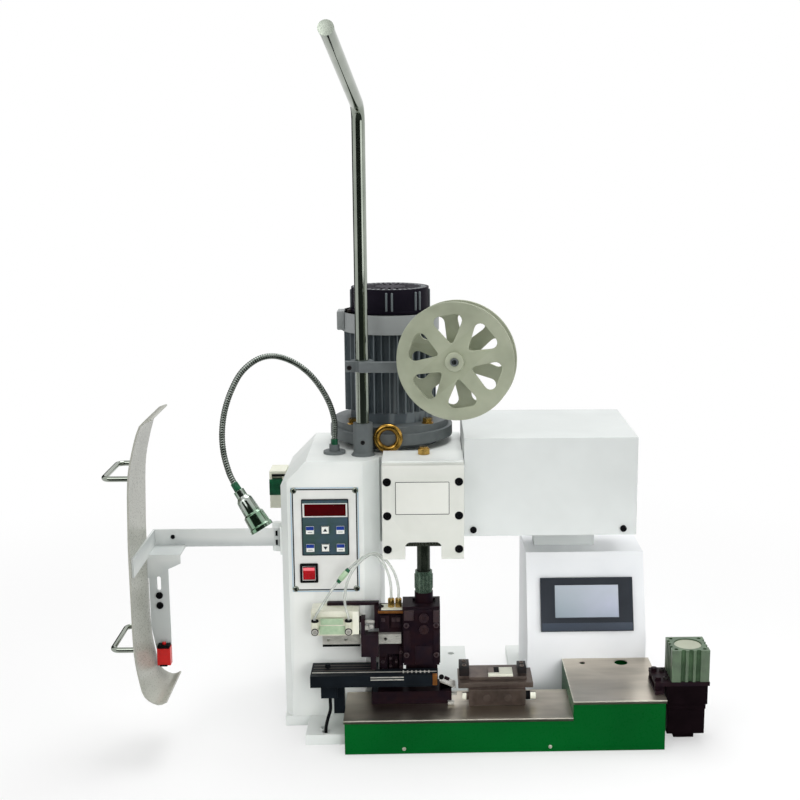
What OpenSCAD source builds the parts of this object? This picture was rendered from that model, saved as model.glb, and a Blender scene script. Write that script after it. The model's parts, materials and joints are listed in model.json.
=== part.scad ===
// Bench press that crimps terminals onto wire, with a strip and clamp carriage beside it.
// The origin is the centre of the four base bolts, on the bench; +X is right, +Y rear, +Z up.
// Places are measured from the front left bottom corner of the front case, then moved as one.

/* [Base] */
// Thickness of the base plate
base_t = 16; // [14:0.5:18]
// Distance between the base bolts, left to right
bolt_span_x = 200; // [190:1:210]
// Distance between the base bolts, front to rear
bolt_span_y = 290; // [280:1:300]
// Diameter of the base bolt holes
bolt_hole_d = 11; // [9:0.5:13]

/* [Body] */
// Width of the body column
body_w = 150; // [146:1:154]
// Depth of the body, front to rear
body_depth = 206; // [202:1:212]
// Height of the body's top above the bench
body_top = 423; // [418:1:430]
// Wall of the cast body
body_wall = 14; // [12:0.5:16]
// Underside of the upper arm above the bench
arm_bottom = 288; // [284:1:292]
// Slanted cut at the top left corner of the body
corner_cut = 40; // [34:1:44]

/* [Head] */
// Distance from the case's left side to the crimping axis
crimp_x = 118.5; // [117:0.5:120]
// Distance from the case's front to the crimping axis
crimp_y = 95; // [94:0.5:96]
// Width of the head
head_w = 121; // [119:1:122]
// Depth of the head block behind its cover
head_depth = 67; // [65:1:70]
// Height of the head block
head_h = 144; // [140:1:150]
// Thickness of the head's front cover
head_cover_t = 18; // [15:0.5:19]
// Width of the ram slide
slide_w = 60; // [58:0.5:62]
// Height of the ram slide
slide_h = 92; // [88:1:95]

/* [Drive] */
// Stroke of the ram
stroke = 30; // [28:0.5:32]
// Height of the crankshaft above the bench
crank_z = 355; // [353:0.5:357]
// Diameter of the crankshaft's journals
journal_d = 40; // [36:0.5:42]
// Diameter of the crank pin
crank_pin_d = 18; // [16:0.5:20]

/* [Motor] */
// Diameter of the adapter plate under the motor
adapter_d = 196; // [190:1:200]
// Thickness of the adapter plate
adapter_t = 17; // [14:0.5:20]
// Diameter over the motor's cooling fins
fin_d = 144; // [138:1:148]
// Length of the finned motor body
fin_l = 125; // [118:1:130]
// Diameter of the motor's upper ring
ring_d = 154; // [148:1:158]
// Height of the motor's upper ring
ring_h = 30; // [26:1:34]
// Diameter of the fan cowl
cowl_d = 123; // [118:1:130]
// Height of the fan cowl
cowl_h = 38; // [34:1:42]

/* [Pole and reel] */
// Diameter of the guide pole
pole_d = 20; // [18:0.5:22]
// Height of the pole's bend above the bench
pole_bend_z = 945; // [900:5:980]
// Reach of the pole's slanted arm
pole_reach = 288; // [260:2:310]
// Diameter of the guide wheel
wheel_d = 174; // [168:1:180]
// Width over the guide wheel's two discs
wheel_w = 30; // [26:0.5:36]
// Thickness of each disc
disc_t = 4; // [3:0.5:5]

/* [Front case] */
// Length of the front case
case_w = 478; // [472:1:484]
// Length of its low left part, the tray
tray_w = 340; // [334:1:346]
// Depth of the tray
tray_depth = 101; // [98:1:104]
// Depth of the raised right part
raised_depth = 163; // [158:1:168]
// Height of the tray's top above the bench
tray_h = 54; // [52:0.5:56]
// Height of the raised top above the bench
raised_h = 79.5; // [76:0.5:84]
// Thickness of the case sheet
sheet_t = 1.5; // [1:0.1:2]

/* [Clamp carriage] */
// Travel of the clamp carriage along the tray
carriage_travel = 40; // [20:1:44]
// Lift of the upper jaw
jaw_lift = 4; // [2:0.5:5]
// Diameter of the lead screw
screw_d = 12; // [10:0.5:12]

/* [Feed] */
// Travel of the feed carriage
feed_travel = 20; // [10:1:22]
// Side of the feed rail's section
rail_w = 15; // [12:0.5:15]

/* [Control box and console] */
// Length of the control box
box_w = 261; // [250:1:270]
// Depth of the control box
box_depth = 216; // [205:1:222]
// Height of the control box
box_h = 151; // [145:1:156]
// Width of the console
console_w = 191; // [185:1:196]
// Height of the console above the bench
console_h = 243; // [238:1:250]
// Lean of the console's face from upright, in degrees
console_lean = 20; // [15:1:24]
// Width of the operator screen's frame
screen_w = 149; // [140:1:154]
// Height of the operator screen's frame
screen_h = 86; // [82:1:92]

/* [Panel] */
// Width of the control panel
panel_w = 103; // [98:1:108]
// Height of the control panel
panel_h = 165; // [160:1:170]
// Width of one key
key_w = 12; // [10:0.5:13]
// Travel of a key
key_travel = 0.8; // [0.4:0.1:0.9]

/* [Lamp] */
// Diameter of the gooseneck over its ribs
neck_d = 9; // [8:0.5:10]
// Length of the lamp head
lamp_l = 65; // [60:1:70]
// Largest diameter of the lamp head
lamp_d = 35; // [32:1:38]

/* [Guard] */
// Length of the guard arm from its hinge
guard_reach = 190; // [180:1:195]
// Width of the shield, front to rear
shield_w = 112; // [100:1:120]
// Thickness of the shield
shield_t = 2.5; // [2:0.5:3]
// Reach of a handle out of the shield
handle_reach = 34; // [30:1:40]
// Diameter of a handle's rod
handle_d = 8; // [6:0.5:10]

/* [Hidden] */
$fn = 48;

// Overrun of a cut past the face it opens
over = 1;
// Running gap of a round shaft, on the radius
run_gap = 0.05;
// Gap between flat sliding faces
slide_gap = 0.4;

// Place of the front left base bolt from the case's corner
first_bolt = [-35, 60];
corner = [-first_bolt[0] - bolt_span_x / 2, -first_bolt[1] - bolt_span_y / 2, 0];

// Moves what is measured from the case's corner into the part's own frame
module placed() {
    translate(corner) children();
}

// Box between two values on each axis
module span(x, y, z) {
    translate([x[0], y[0], z[0]]) cube([x[1] - x[0], y[1] - y[0], z[1] - z[0]]);
}

// Round rods between two values on one axis, at a point of the other two
module rod_x(r, x, at) {
    translate([x[0], at[0], at[1]]) rotate([0, 90, 0]) cylinder(r = r, h = x[1] - x[0]);
}
module rod_y(r, y, at) {
    translate([at[0], y[0], at[1]]) rotate([-90, 0, 0]) cylinder(r = r, h = y[1] - y[0]);
}
module rod_z(r, z, at) {
    translate([at[0], at[1], z[0]]) cylinder(r = r, h = z[1] - z[0]);
}

// Round bend from the X axis counterclockwise by an angle, sunk a little into the rods it joins
module bend(r, bend_r, angle) {
    sunk = 1;
    rotate([0, 0, -sunk]) rotate_extrude(angle = angle + 2 * sunk)
        translate([bend_r, 0]) circle(r = r - run_gap);
}

// Outline in X and Z carried from front to rear
module along_y(y) {
    translate([0, y[1], 0]) rotate([90, 0, 0]) linear_extrude(y[1] - y[0]) children();
}

// Outline in Y and Z carried from left to right
module along_x(x) {
    translate([x[0], 0, 0]) rotate([90, 0, 90]) linear_extrude(x[1] - x[0]) children();
}

// Widens a pair of ends by a gap
function wider(pair, gap) = [pair[0] - gap, pair[1] + gap];
function middle(pair) = (pair[0] + pair[1]) / 2;

// Body and head, from the case's corner
body_left = -98;
body_front = 104;
body_x = [body_left, body_left + body_w];
body_y = [body_front, body_front + body_depth];
body_z = [base_t, body_top];
left_edge_cut = [11, 15];
right_edge_cut = [24, 16];
head_x = [crimp_x - head_w / 2, crimp_x + head_w / 2];
head_front = 68;
head_y = [head_front, head_front + head_depth];
head_z = [arm_bottom, arm_bottom + head_h];
arm_x = [body_x[1], head_x[1]];
arm_y = [head_y[1], body_y[1]];
head_cover_y = [head_front - head_cover_t, head_front];
head_cover_z = [head_z[0] - 2, head_z[1] - 3];

// Base plate outline
base_front = 35;
base_rear = 384;
foot_left = -61;
base_right = 190;
console_plate_left = 263;
case_inner_gap = 6;
base_strip_y = [base_front, body_front];
lead_hole = [-31, 47];
lead_hole_r = 6;
case_boss_x = [88, 306];
case_boss_z = 8;
case_boss_r = 6;

module base_plate() {
    bolt_r = bolt_hole_d / 2;
    color("white") placed() difference() {
        union() {
            span([foot_left, case_w - sheet_t - case_inner_gap], base_strip_y, [0, base_t]);
            span([body_left, base_right], [body_front - over, base_rear], [0, base_t]);
            span([console_plate_left, case_w - sheet_t - case_inner_gap],
                 [body_front - over, base_rear], [0, base_t]);
            for (x = case_boss_x) rod_y(case_boss_r, [sheet_t, base_front + over], [x, case_boss_z]);
        }
        for (x = [0, bolt_span_x], y = [0, bolt_span_y])
            rod_z(bolt_r, [-over, base_t + over], [first_bolt[0] + x, first_bolt[1] + y]);
        rod_z(lead_hole_r, [-over, base_t + over], lead_hole);
    }
}

// Outline of the column, slanted at its top left corner
module column_outline(x, z, cut) {
    polygon([[x[0], z[0]], [x[1], z[0]], [x[1], z[1]], [x[0] + cut, z[1]], [x[0], z[1] - cut]]);
}

bearing_w = 14;
bearing_d = 60;
motor_x = 68;
motor_y = 257;
motor_bore_d = 64;
motor_at = [motor_x, motor_y];
panel_x = [-82, -82 + panel_w];
panel_z = [219, 219 + panel_h];
panel_inset = 8;
cavity_x = [body_x[0] + body_wall, body_x[1] - body_wall];
cavity_y = [body_y[0] + body_wall, body_y[1] + over];
cavity_z = [body_z[0] + body_wall, body_z[1] - body_wall];
arm_cavity_x = [cavity_x[1] - over, arm_x[1] - body_wall];
arm_cavity_y = [arm_y[0] + body_wall, body_y[1] - body_wall];
arm_cavity_z = [arm_bottom + body_wall, body_z[1] - body_wall];

module body_shell() {
    inner_cut = corner_cut - body_wall * (2 - sqrt(2));
    color("white") placed() difference() {
        union() {
            along_y(body_y) column_outline(body_x, body_z, corner_cut);
            span([body_x[1] - over, arm_x[1]], arm_y, [arm_bottom, body_top]);
        }
        // Slanted front edges
        translate([0, 0, -over]) linear_extrude(body_top + 2 * over) {
            polygon([[body_x[0] - over, body_y[0] - over], [body_x[0] + left_edge_cut[0], body_y[0] - over],
                [body_x[0] + left_edge_cut[0], body_y[0]], [body_x[0], body_y[0] + left_edge_cut[1]],
                [body_x[0] - over, body_y[0] + left_edge_cut[1]]]);
            polygon([[body_x[1] + over, body_y[0] - over], [body_x[1] - right_edge_cut[0], body_y[0] - over],
                [body_x[1] - right_edge_cut[0], body_y[0]], [body_x[1], body_y[0] + right_edge_cut[1]],
                [body_x[1] + over, body_y[0] + right_edge_cut[1]]]);
        }
        // Hollow column, open to the rear, without its two front corners
        intersection() {
            along_y(cavity_y) column_outline(cavity_x, cavity_z, inner_cut);
            linear_extrude(body_top)
                polygon([[cavity_x[0], cavity_y[0] + left_edge_cut[1]],
                    [cavity_x[0] + left_edge_cut[0], cavity_y[0]],
                    [cavity_x[1] - right_edge_cut[0], cavity_y[0]],
                    [cavity_x[1], cavity_y[0] + right_edge_cut[1]],
                    [cavity_x[1], cavity_y[1]], [cavity_x[0], cavity_y[1]]]);
        }
        span(arm_cavity_x, arm_cavity_y, arm_cavity_z);
        // Window behind the control panel, motor opening and bearing bores
        span([panel_x[0] + panel_inset, panel_x[1] - panel_inset],
             [body_y[0] - over, cavity_y[0] + over],
             [panel_z[0] + panel_inset, panel_z[1] - panel_inset]);
        rod_z(motor_bore_d / 2, [arm_cavity_z[1] - over, body_top + over], motor_at);
        rod_y(bearing_d / 2 + run_gap, wider(arm_y, over), [crimp_x, crank_z]);
    }
}

cover_t = 3;
box_gap = 1;
box_x = [head_x[1] + box_gap, head_x[1] + box_gap + box_w];
box_front = 82;
box_y = [box_front, box_front + box_depth];
box_bottom = 311;
box_z = [box_bottom, box_bottom + box_h];

module rear_covers() {
    color("white") placed() {
        span([body_x[0] + left_edge_cut[0], body_x[1] - sheet_t], [body_y[1], body_y[1] + cover_t],
             [body_z[0] + cover_t, body_z[1] - corner_cut]);
        span(wider(box_x, -sheet_t), [box_y[1], box_y[1] + sheet_t], wider(box_z, -sheet_t));
    }
}

slide_y = [head_front + slide_gap, head_front + slide_gap + 48];
slide_top_z = 392;
slide_z = [slide_top_z - slide_h, slide_top_z];
slide_x = [crimp_x - slide_w / 2, crimp_x + slide_w / 2];
web_r = 26;
web_gap = 1;
oil_cup_at = [120, 112];
oil_hole_r = 4;

module head_block() {
    top_room = 8;
    color("white") placed() difference() {
        span(head_x, head_y, head_z);
        span(wider(slide_x, slide_gap), [head_y[0] - over, slide_y[1] + slide_gap],
             [head_z[0] - over, slide_z[1] + top_room]);
        rod_y(web_r + web_gap, [slide_y[1] - over, head_y[1] + over], [crimp_x, crank_z]);
        rod_z(oil_hole_r, [slide_z[1], head_z[1] + over], oil_cup_at);
    }
}

ram_slot_w = 54;
ram_slot_h = 26;
ram_slot_corner = 8;
head_screw_x = [crimp_x - 53, crimp_x + 53];
head_screw_z = [head_cover_z[1] - 25, head_cover_z[1] - 76.5, head_cover_z[1] - 128];
head_screw_r = 6;
screw_sunk = 4;

module head_cover() {
    slot_x = [crimp_x - ram_slot_w / 2, crimp_x + ram_slot_w / 2];
    slot_z = [head_cover_z[0] - over, head_cover_z[0] + ram_slot_h];
    y = wider(head_cover_y, over);
    color("white") placed() difference() {
        span(head_x, head_cover_y, head_cover_z);
        span(slot_x, y, [slot_z[0], slot_z[1] - ram_slot_corner]);
        span(wider(slot_x, -ram_slot_corner), y, slot_z);
        for (x = wider(slot_x, -ram_slot_corner)) rod_y(ram_slot_corner, y, [x, slot_z[1] - ram_slot_corner]);
        for (x = head_screw_x, z = head_screw_z)
            rod_y(head_screw_r + slide_gap, [y[0], head_cover_y[0] + screw_sunk], [x, z]);
    }
}

// Socket screw lying along Y, its head's face at y
module socket_screw(r, head_l, at) {
    socket_share = 0.5;
    depth_share = 0.6;
    translate([at[0], at[1], at[2]]) rotate([-90, 0, 0]) difference() {
        cylinder(r = r, h = head_l);
        translate([0, 0, -over]) cylinder(r = r * socket_share, h = head_l * depth_share + over, $fn = 6);
    }
}

box_screw_r = 5;
box_screw_l = 2.5;
box_screws = [[box_x[0] + 14, box_z[0] + 10], [box_x[1] - 20, box_z[0] + 10]];
pole_at = [27, 149];
socket_h = 50;
socket_r = 15;

module cover_screws() {
    color("black") placed() {
        for (x = head_screw_x, z = head_screw_z)
            socket_screw(head_screw_r, screw_sunk, [x, head_cover_y[0], z]);
        for (at = box_screws)
            socket_screw(box_screw_r, box_screw_l, [at[0], box_y[0] - box_screw_l, at[1]]);
    }
}

app_x = [86, 143];
app_base_x = [38, 160];
app_base_y = [57, 103];
app_base_h = 20;
app_base_z = [tray_h, tray_h + app_base_h];
app_left_x = [50, app_x[0]];
app_frame_y = [66, 112];
app_front_y = [58, 66];
app_z = [116, 206];
app_left_z = [app_base_z[1], 196];
air_plate_x = [50, 97];
air_plate_t = 5;
air_plate_z = [app_left_z[1], app_left_z[1] + air_plate_t];
fitting_x = [69, 80];
fitting_y = 80;
fitting_r = 4.5;
fitting_l = 14;
hose_r = 2;
oil_cup_r = 9;
oil_cup_h = 9;

module brass_fittings() {
    lid_share = 0.75;
    color("gold") placed() {
        for (x = fitting_x) difference() {
            rod_z(fitting_r, [air_plate_z[1], air_plate_z[1] + fitting_l], [x, fitting_y]);
            rod_z(hose_r + run_gap, [air_plate_z[1] + fitting_l / 2, air_plate_z[1] + fitting_l + over],
                  [x, fitting_y]);
        }
        rod_z(oil_hole_r - run_gap, [head_z[1] - oil_cup_h, head_z[1] + over], oil_cup_at);
        rod_z(oil_cup_r, [head_z[1], head_z[1] + oil_cup_h], oil_cup_at);
        rod_z(oil_cup_r * lid_share, [head_z[1], head_z[1] + oil_cup_h * (2 - lid_share)], oil_cup_at);
    }
}

eye_at = [65, 150];
eye_ring_r = 17.5;
eye_bar_r = 5.5;
eye_collar_r = 9;
eye_collar_h = 5;

module eyebolt() {
    eye_z = body_top + eye_collar_h + eye_ring_r + eye_bar_r / 2;
    color("goldenrod") placed() {
        rod_z(eye_collar_r, [body_top, body_top + eye_collar_h], eye_at);
        translate([eye_at[0], eye_at[1], eye_z]) rotate([90, 0, 0])
            rotate_extrude() translate([eye_ring_r, 0]) circle(r = eye_bar_r);
    }
}

bolster_x = [70, 158];
bolster_y = [58, body_front - sheet_t];

module bolster_block() {
    color("darkslategray") placed()
        span(bolster_x, bolster_y, [base_t, tray_h]);
}

post_x = [90, 139];
post_y = [102, 120];

module applicator_base() {
    chute_x = [app_base_x[1] - 18, app_base_x[1] + 6];
    chute_y = [62, 84];
    chute_z = [88, 78];
    chute_t = 1.5;
    color("dimgray") placed() {
        span(app_base_x, app_base_y, app_base_z);
        span(post_x, post_y, [app_base_z[0], app_z[0]]);
        // Scrap chute, a bent strip that leaves to the right
        along_y(chute_y) polygon([[chute_x[0], chute_z[0]], [chute_x[1], chute_z[1]],
            [chute_x[1], chute_z[1] - chute_t], [chute_x[0] + chute_t, chute_z[0] - chute_t],
            [chute_x[0] + chute_t, app_base_z[1]], [chute_x[0], app_base_z[1]]]);
    }
}

punch_w = 20;
app_ram_w = 34;
app_ram_y = [crimp_y - 15, crimp_y + 9];
collar_r = 14;
adapter_r = 13;
adapter_rib_r = 1.1;

module applicator_frame() {
    channel = wider([crimp_x - app_ram_w / 2, crimp_x + app_ram_w / 2], slide_gap);
    plate_inset = 3;
    screw_inset = 6;
    screw_rise = 17;
    screw_drop = 26;
    screw_x = wider(app_x, -screw_inset);
    screw_z = [app_z[0] + screw_rise, app_z[1] - screw_drop];
    app_screw_r = 4;
    app_screw_l = 2;
    notch = [[62, 80], [96, 128]];
    color("black") placed() {
        difference() {
            span(app_x, app_frame_y, app_z);
            span(channel, wider(app_ram_y, slide_gap), wider(app_z, over));
            rod_z(adapter_r + adapter_rib_r + slide_gap, [collar_z[0] - stroke - over, app_z[1] + over],
                  [crimp_x, crimp_y]);
        }
        span(wider(app_x, -plate_inset / 2), app_front_y, [app_z[0], app_z[1] - plate_inset]);
        for (x = screw_x, z = screw_z)
            rod_y(app_screw_r, [app_front_y[0] - app_screw_l, app_front_y[0]], [x, z]);
        // Feed lever housing at the left, with its window
        difference() {
            span(app_left_x, [app_frame_y[0] + 8, app_frame_y[1]], app_left_z);
            span(notch[0], wider(app_frame_y, over), notch[1]);
        }
        span(air_plate_x, [fitting_y - 14, fitting_y + 14], air_plate_z);
    }
}

anvil_top_z = 92;

module anvil() {
    foot = [24, 13];
    tip_h = 6;
    color("silver") placed() {
        translate([crimp_x - foot[0] / 2, crimp_y - foot[1] / 2, app_base_z[1]])
            cube([foot[0], foot[1], anvil_top_z - tip_h - app_base_z[1]]);
        translate([crimp_x - punch_w / 2, crimp_y - 4, app_base_z[1]])
            cube([punch_w, 8, anvil_top_z - app_base_z[1]]);
    }
}

cyl_x = [-50, 12];
cyl_y = [50, 86];
cyl_z = [168, 206];
cyl_cap_t = 9;
cyl_axis = [68, 187];
feed_rod_r = 5;
feed_rod_bore = 40;
feed_rod_hold = 8;
elbow_r = 5;
elbow_x = [-44, 6];
elbow_z = 177;
elbow_y = 41;
bar_x = [-27, app_left_x[0]];
bar_z = [cyl_z[1], cyl_z[1] + 3];
bar_w = 10;

module feed_cylinder() {
    groove_r = 3;
    color("ivory") placed() {
        difference() {
            union() {
                span(cyl_x, cyl_y, cyl_z);
                span([cyl_x[1], cyl_x[1] + cyl_cap_t], wider(cyl_y, -1), wider(cyl_z, -1));
            }
            rod_x(feed_rod_r + run_gap, [cyl_x[1] - feed_rod_bore, cyl_x[1] + cyl_cap_t + over], cyl_axis);
            for (z = [cyl_z[0] + 12, cyl_z[1] - 12])
                rod_x(groove_r, [cyl_x[0] + cyl_cap_t, cyl_x[1] - cyl_cap_t], [cyl_y[0], z]);
        }
        // Two elbows on the front face, which take the air tubes
        for (x = elbow_x) {
            rod_y(elbow_r, [elbow_y, cyl_y[0]], [x, elbow_z]);
            rod_z(elbow_r, [elbow_z, elbow_z + elbow_r * 3], [x, elbow_y + elbow_r]);
        }
        // Bar that ties the cylinder to the applicator
        span(bar_x, [cyl_y[1] - bar_w, cyl_y[1]], bar_z);
        span([app_left_x[0] - 6, app_left_x[0]], [cyl_y[1] - bar_w, cyl_y[1]], [bar_z[1] - 40, bar_z[1]]);
    }
}

rail_x = [-35, app_left_x[0] + 34];
rail_z = [148, 148 + rail_w];
rail_back_y = app_frame_y[0] + 8;
rail_y = [rail_back_y - 9, rail_back_y];
guide_x = [176, 334];
guide_y = [58, 92];
guide_w = 12;
guide_z = [30, 42];
guide_foot_w = 10;
lead_screw_at = [75, 36];

module linear_rails() {
    hole_r = 2.5;
    hole_x = [-26, 0, 60];
    color("silver") placed() {
        difference() {
            span(rail_x, rail_y, rail_z);
            for (x = hole_x) rod_y(hole_r, wider(rail_y, over), [x, middle(rail_z)]);
        }
        // Arm that carries the free end of the feed rail from the cylinder above it
        span([rail_x[0], rail_x[0] + guide_foot_w], rail_y, [rail_z[1], cyl_z[0]]);
        for (y = guide_y) {
            span(guide_x, [y - guide_w / 2, y + guide_w / 2], guide_z);
            for (x = [guide_x[0], guide_x[1] - guide_foot_w])
                span([x, x + guide_foot_w], [y - guide_w / 2, y + guide_w / 2], [base_t, guide_z[0]]);
        }
        // Bearing blocks of the lead screw
        for (x = [guide_x[0], guide_x[1] - guide_foot_w]) difference() {
            span([x, x + guide_foot_w], [guide_y[0] + guide_w / 2, guide_y[1] - guide_w / 2],
                 [base_t, guide_z[1] + 2]);
            rod_x(screw_d / 2 + run_gap, wider([x, x + guide_foot_w], over), lead_screw_at);
        }
    }
}

// Swept round tubes: rings are carried along a route without twist
function unit(v) = v / norm(v);
function aims(p) = [for (i = [0:len(p) - 1]) unit(p[min(i + 1, len(p) - 1)] - p[max(i - 1, 0)])];
function square_to(n, t) = unit(n - t * (n * t));
function sides_of(t, n0) = [for (i = 0, n = square_to(n0, t[0]); i < len(t);
    i = i + 1, n = i < len(t) ? square_to(n, t[i]) : n) n];
function ring(c, t, n, r, k) = [for (j = [0:k - 1]) c + r * (n * cos(360 * j / k) + cross(t,
    n) * sin(360 * j / k))];
// Smooth curve through hand-chosen points, steps of it to each stretch
function through(a, b, c, d, u) = (2 * b + (c - a) * u + (2 * a - 5 * b + 4 * c - d) * u * u
    + (3 * b - a - 3 * c + d) * u * u * u) / 2;
function smooth(p, steps) = concat([for (i = [0:len(p) - 2], s = [0:steps - 1])
    through(p[max(i - 1, 0)], p[i], p[i + 1], p[min(i + 2, len(p) - 1)], s / steps)], [p[len(p) - 1]]);
module tube(path, radii, k) {
    t = aims(path);
    n = sides_of(t, [0.3, 1, 0.2]);
    m = len(path);
    points = [for (i = [0:m - 1]) each ring(path[i], t[i], n[i], radii[i], k)];
    faces = concat(
        [for (i = [0:m - 2], j = [0:k - 1]) [i * k + j, (i + 1) * k + j, i * k + (j + 1) % k]],
        [for (i = [0:m - 2], j = [0:k - 1]) [i * k + (j + 1) % k, (i + 1) * k + j,
            (i + 1) * k + (j + 1) % k]],
        [for (j = [1:k - 2]) [0, j, j + 1]],
        [for (j = [1:k - 2]) [(m - 1) * k, (m - 1) * k + j + 1, (m - 1) * k + j]]);
    polyhedron(points, faces);
}
module plain_tube(route, r, steps) {
    path = smooth(route, steps);
    tube(path, [for (p = path) r], 8);
}

// Routes of the tubes and of the sensor's lead, points chosen by hand
left_hose = [[-44, 46, 192], [-44, 46, 198], [-32, 48, 218], [-14, 52, 245], [8, 57, 270], [28, 62, 286],
    [44, 66, 289], [56, 72, 277], [65, 78, 255], [69, 80, 232], [69, 80, 210]];
right_hose = [[6, 46, 192], [6, 46, 198], [1, 46, 222], [4, 49, 248], [16, 54, 272], [34, 60, 288],
    [49, 66, 290], [62, 74, 277], [74, 79, 256], [80, 80, 232], [80, 80, 210]];
sensor_lead = [[-24, 50, 72], [-24, 50, 64], [-24, 49, 50], [-28, 48, 36], [-31, 47, 22], [-31, 47, 8]];
lead_r = 2.5;

module air_tubes() {
    color("whitesmoke") placed() {
        plain_tube(left_hose, hose_r - run_gap, 3);
        plain_tube(right_hose, hose_r - run_gap, 3);
    }
    color("black") placed() plain_tube(sensor_lead, lead_r, 3);
}

track_x = [-52, app_x[1] - 4];
track_left_x = [-52, app_x[0]];
track_y = [31, app_front_y[0] - slide_gap];
track_rear_y = 84;
track_low = 93;
track_h = 18;
track_z = [track_low, track_low + track_h];

module terminal_track() {
    groove = 4;
    knob_r = 4;
    knob_h = 6;
    sensor_x = [-37, -12];
    sensor_z = [72, track_z[0]];
    block_x = [-18, -2];
    block_z = [46, track_z[0]];
    color("black") placed() {
        difference() {
            union() {
                span([track_left_x[0], app_left_x[0] - 2], [track_y[0], track_rear_y], track_z);
                span(track_x, track_y, track_z);
            }
            span([track_x[0] - over, track_x[1] - groove], [track_y[0] + groove * 3, track_y[0] + groove * 4],
                 [track_z[1] - groove, track_z[1] + over]);
        }
        rod_z(knob_r, [track_z[1], track_z[1] + knob_h], [-28, 66]);
        span(sensor_x, [40, 60], sensor_z);
        span(block_x, [44, 60], block_z);
        // Stand that carries the track on the applicator base
        span([app_base_x[0] + 2, app_base_x[0] + 10], [app_base_y[0], track_rear_y],
            [app_base_z[1], track_z[0]]);
    }
}

raised_x = [tray_w, case_w];
case_z = [0, tray_h - sheet_t];
raised_z = [case_z[1] - over, raised_h - sheet_t];
drive_slot_y = [30, 70];

module front_case() {
    color("darkgreen") placed() difference() {
        union() {
            span([0, case_w], [0, sheet_t], case_z);
            span(raised_x, [0, sheet_t], raised_z);
            span([0, sheet_t], [0, tray_depth], case_z);
            span([case_w - sheet_t, case_w], [0, raised_depth], [0, raised_z[1]]);
            span(raised_x, [raised_depth - sheet_t, raised_depth], [base_t, raised_z[1]]);
            span([tray_w, tray_w + sheet_t], [0, raised_depth], [base_t, raised_z[1]]);
        }
        // Notch in the left side for the base plate
        span([-over, sheet_t + over], [base_front - slide_gap, tray_depth + over], [-over, base_t]);
        // Passage of the carriage rails and screw, and of the drive's leads
        span([tray_w - over, tray_w + sheet_t + over], [guide_y[0] - guide_w,
            guide_y[1] + guide_w / 2 + over],
             [base_t, guide_z[1] + over]);
        span([case_w - sheet_t - over, case_w + over], drive_slot_y, [base_t, tray_h]);
    }
}

car_x = [170, 288];
car_foot_x = [205, 245];
car_foot_y = [guide_y[0] - guide_w / 2, guide_y[1] + guide_w / 2];

module top_covers() {
    lip = 5;
    slot_gap = 3;
    hole_shares = [0.22, 0.67];
    hole_back = 17;
    hole_r = [4.5, 10.5];
    color("silver") placed() {
        difference() {
            span([-sheet_t, tray_w], [-sheet_t, tray_depth + sheet_t], [tray_h - lip, tray_h]);
            span([0, tray_w + over], [0, tray_depth], [tray_h - lip - over, tray_h - sheet_t]);
            span(wider(bolster_x, slide_gap), wider(bolster_y, slide_gap),
                wider([tray_h - lip, tray_h], over));
            span([car_foot_x[0] - slot_gap, car_foot_x[1] + carriage_travel + slot_gap],
                 wider([guide_y[0] + guide_w / 2, guide_y[1] - guide_w / 2], -slide_gap),
                 wider([tray_h - lip, tray_h], over));
        }
        difference() {
            span([tray_w, case_w + sheet_t], [-sheet_t, raised_depth + sheet_t], [raised_h - lip, raised_h]);
            span([tray_w - over, case_w], [0, raised_depth], [raised_h - lip - over, raised_h - sheet_t]);
            for (i = [0, 1]) rod_z(hole_r[i], wider([raised_h - lip, raised_h], over),
                [tray_w + (case_w - tray_w) * hole_shares[i], raised_depth - hole_back]);
        }
    }
}

module control_box() {
    bracket_x = [box_x[0] + 120, box_x[0] + 220];
    bracket_y = [250, 280];
    color("white") placed() {
        difference() {
            span(box_x, box_y, box_z);
            span(wider(box_x, -sheet_t), [box_y[0] + sheet_t, box_y[1] + over], wider(box_z, -sheet_t));
        }
        // Hanger that steadies the box on the console
        span(bracket_x, bracket_y, [console_h, box_z[0]]);
    }
}

console_x = [284, 284 + console_w];
console_y = [raised_depth + sheet_t + slide_gap, 350];
console_face_z = 110;
console_top_y = console_y[0] + (console_h - console_face_z) * tan(console_lean);
screen_rise = 14;
screen_x = [306, 306 + screen_w];
screen_frame_t = 8;
screen_body_depth = 34;
screen_edge = 7;

// Puts a shape on the console's face: its X runs right, its Y up the face, its Z out of it
module on_face() {
    translate([0, console_y[0], console_face_z]) rotate([90 - console_lean, 0, 0]) children();
}

module console_outline(inset) {
    slant = inset * tan(console_lean / 2);
    polygon([[console_y[0] + inset, base_t + inset], [console_y[0] + inset, console_face_z + slant],
        [console_top_y + inset - slant, console_h - inset], [console_y[1] - inset, console_h - inset],
        [console_y[1] - inset, base_t + inset]]);
}

module console_shell() {
    color("whitesmoke") placed() difference() {
        along_x(console_x) console_outline(0);
        along_x(wider(console_x, -sheet_t)) console_outline(sheet_t);
        on_face() translate([screen_x[0] + screen_edge, screen_rise + screen_edge, -sheet_t - over])
            cube([screen_w - 2 * screen_edge, screen_h - 2 * screen_edge, sheet_t + 2 * over]);
    }
}

module screen_unit() {
    glass_edge = [23, 22];
    chin = 12;
    glass_sunk = 1.5;
    color("darkslategray") placed() on_face() difference() {
        union() {
            translate([screen_x[0], screen_rise, 0]) cube([screen_w, screen_h, screen_frame_t]);
            translate([screen_x[0] + screen_edge + slide_gap, screen_rise + screen_edge + slide_gap,
                -screen_body_depth])
                cube([screen_w - 2 * (screen_edge + slide_gap), screen_h - 2 * (screen_edge + slide_gap),
                    screen_body_depth + over]);
        }
        translate([screen_x[0] + glass_edge[0], screen_rise + glass_edge[1], screen_frame_t - glass_sunk])
            cube([screen_w - 2 * glass_edge[0], screen_h - glass_edge[1] - chin, glass_sunk + over]);
    }
}

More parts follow.
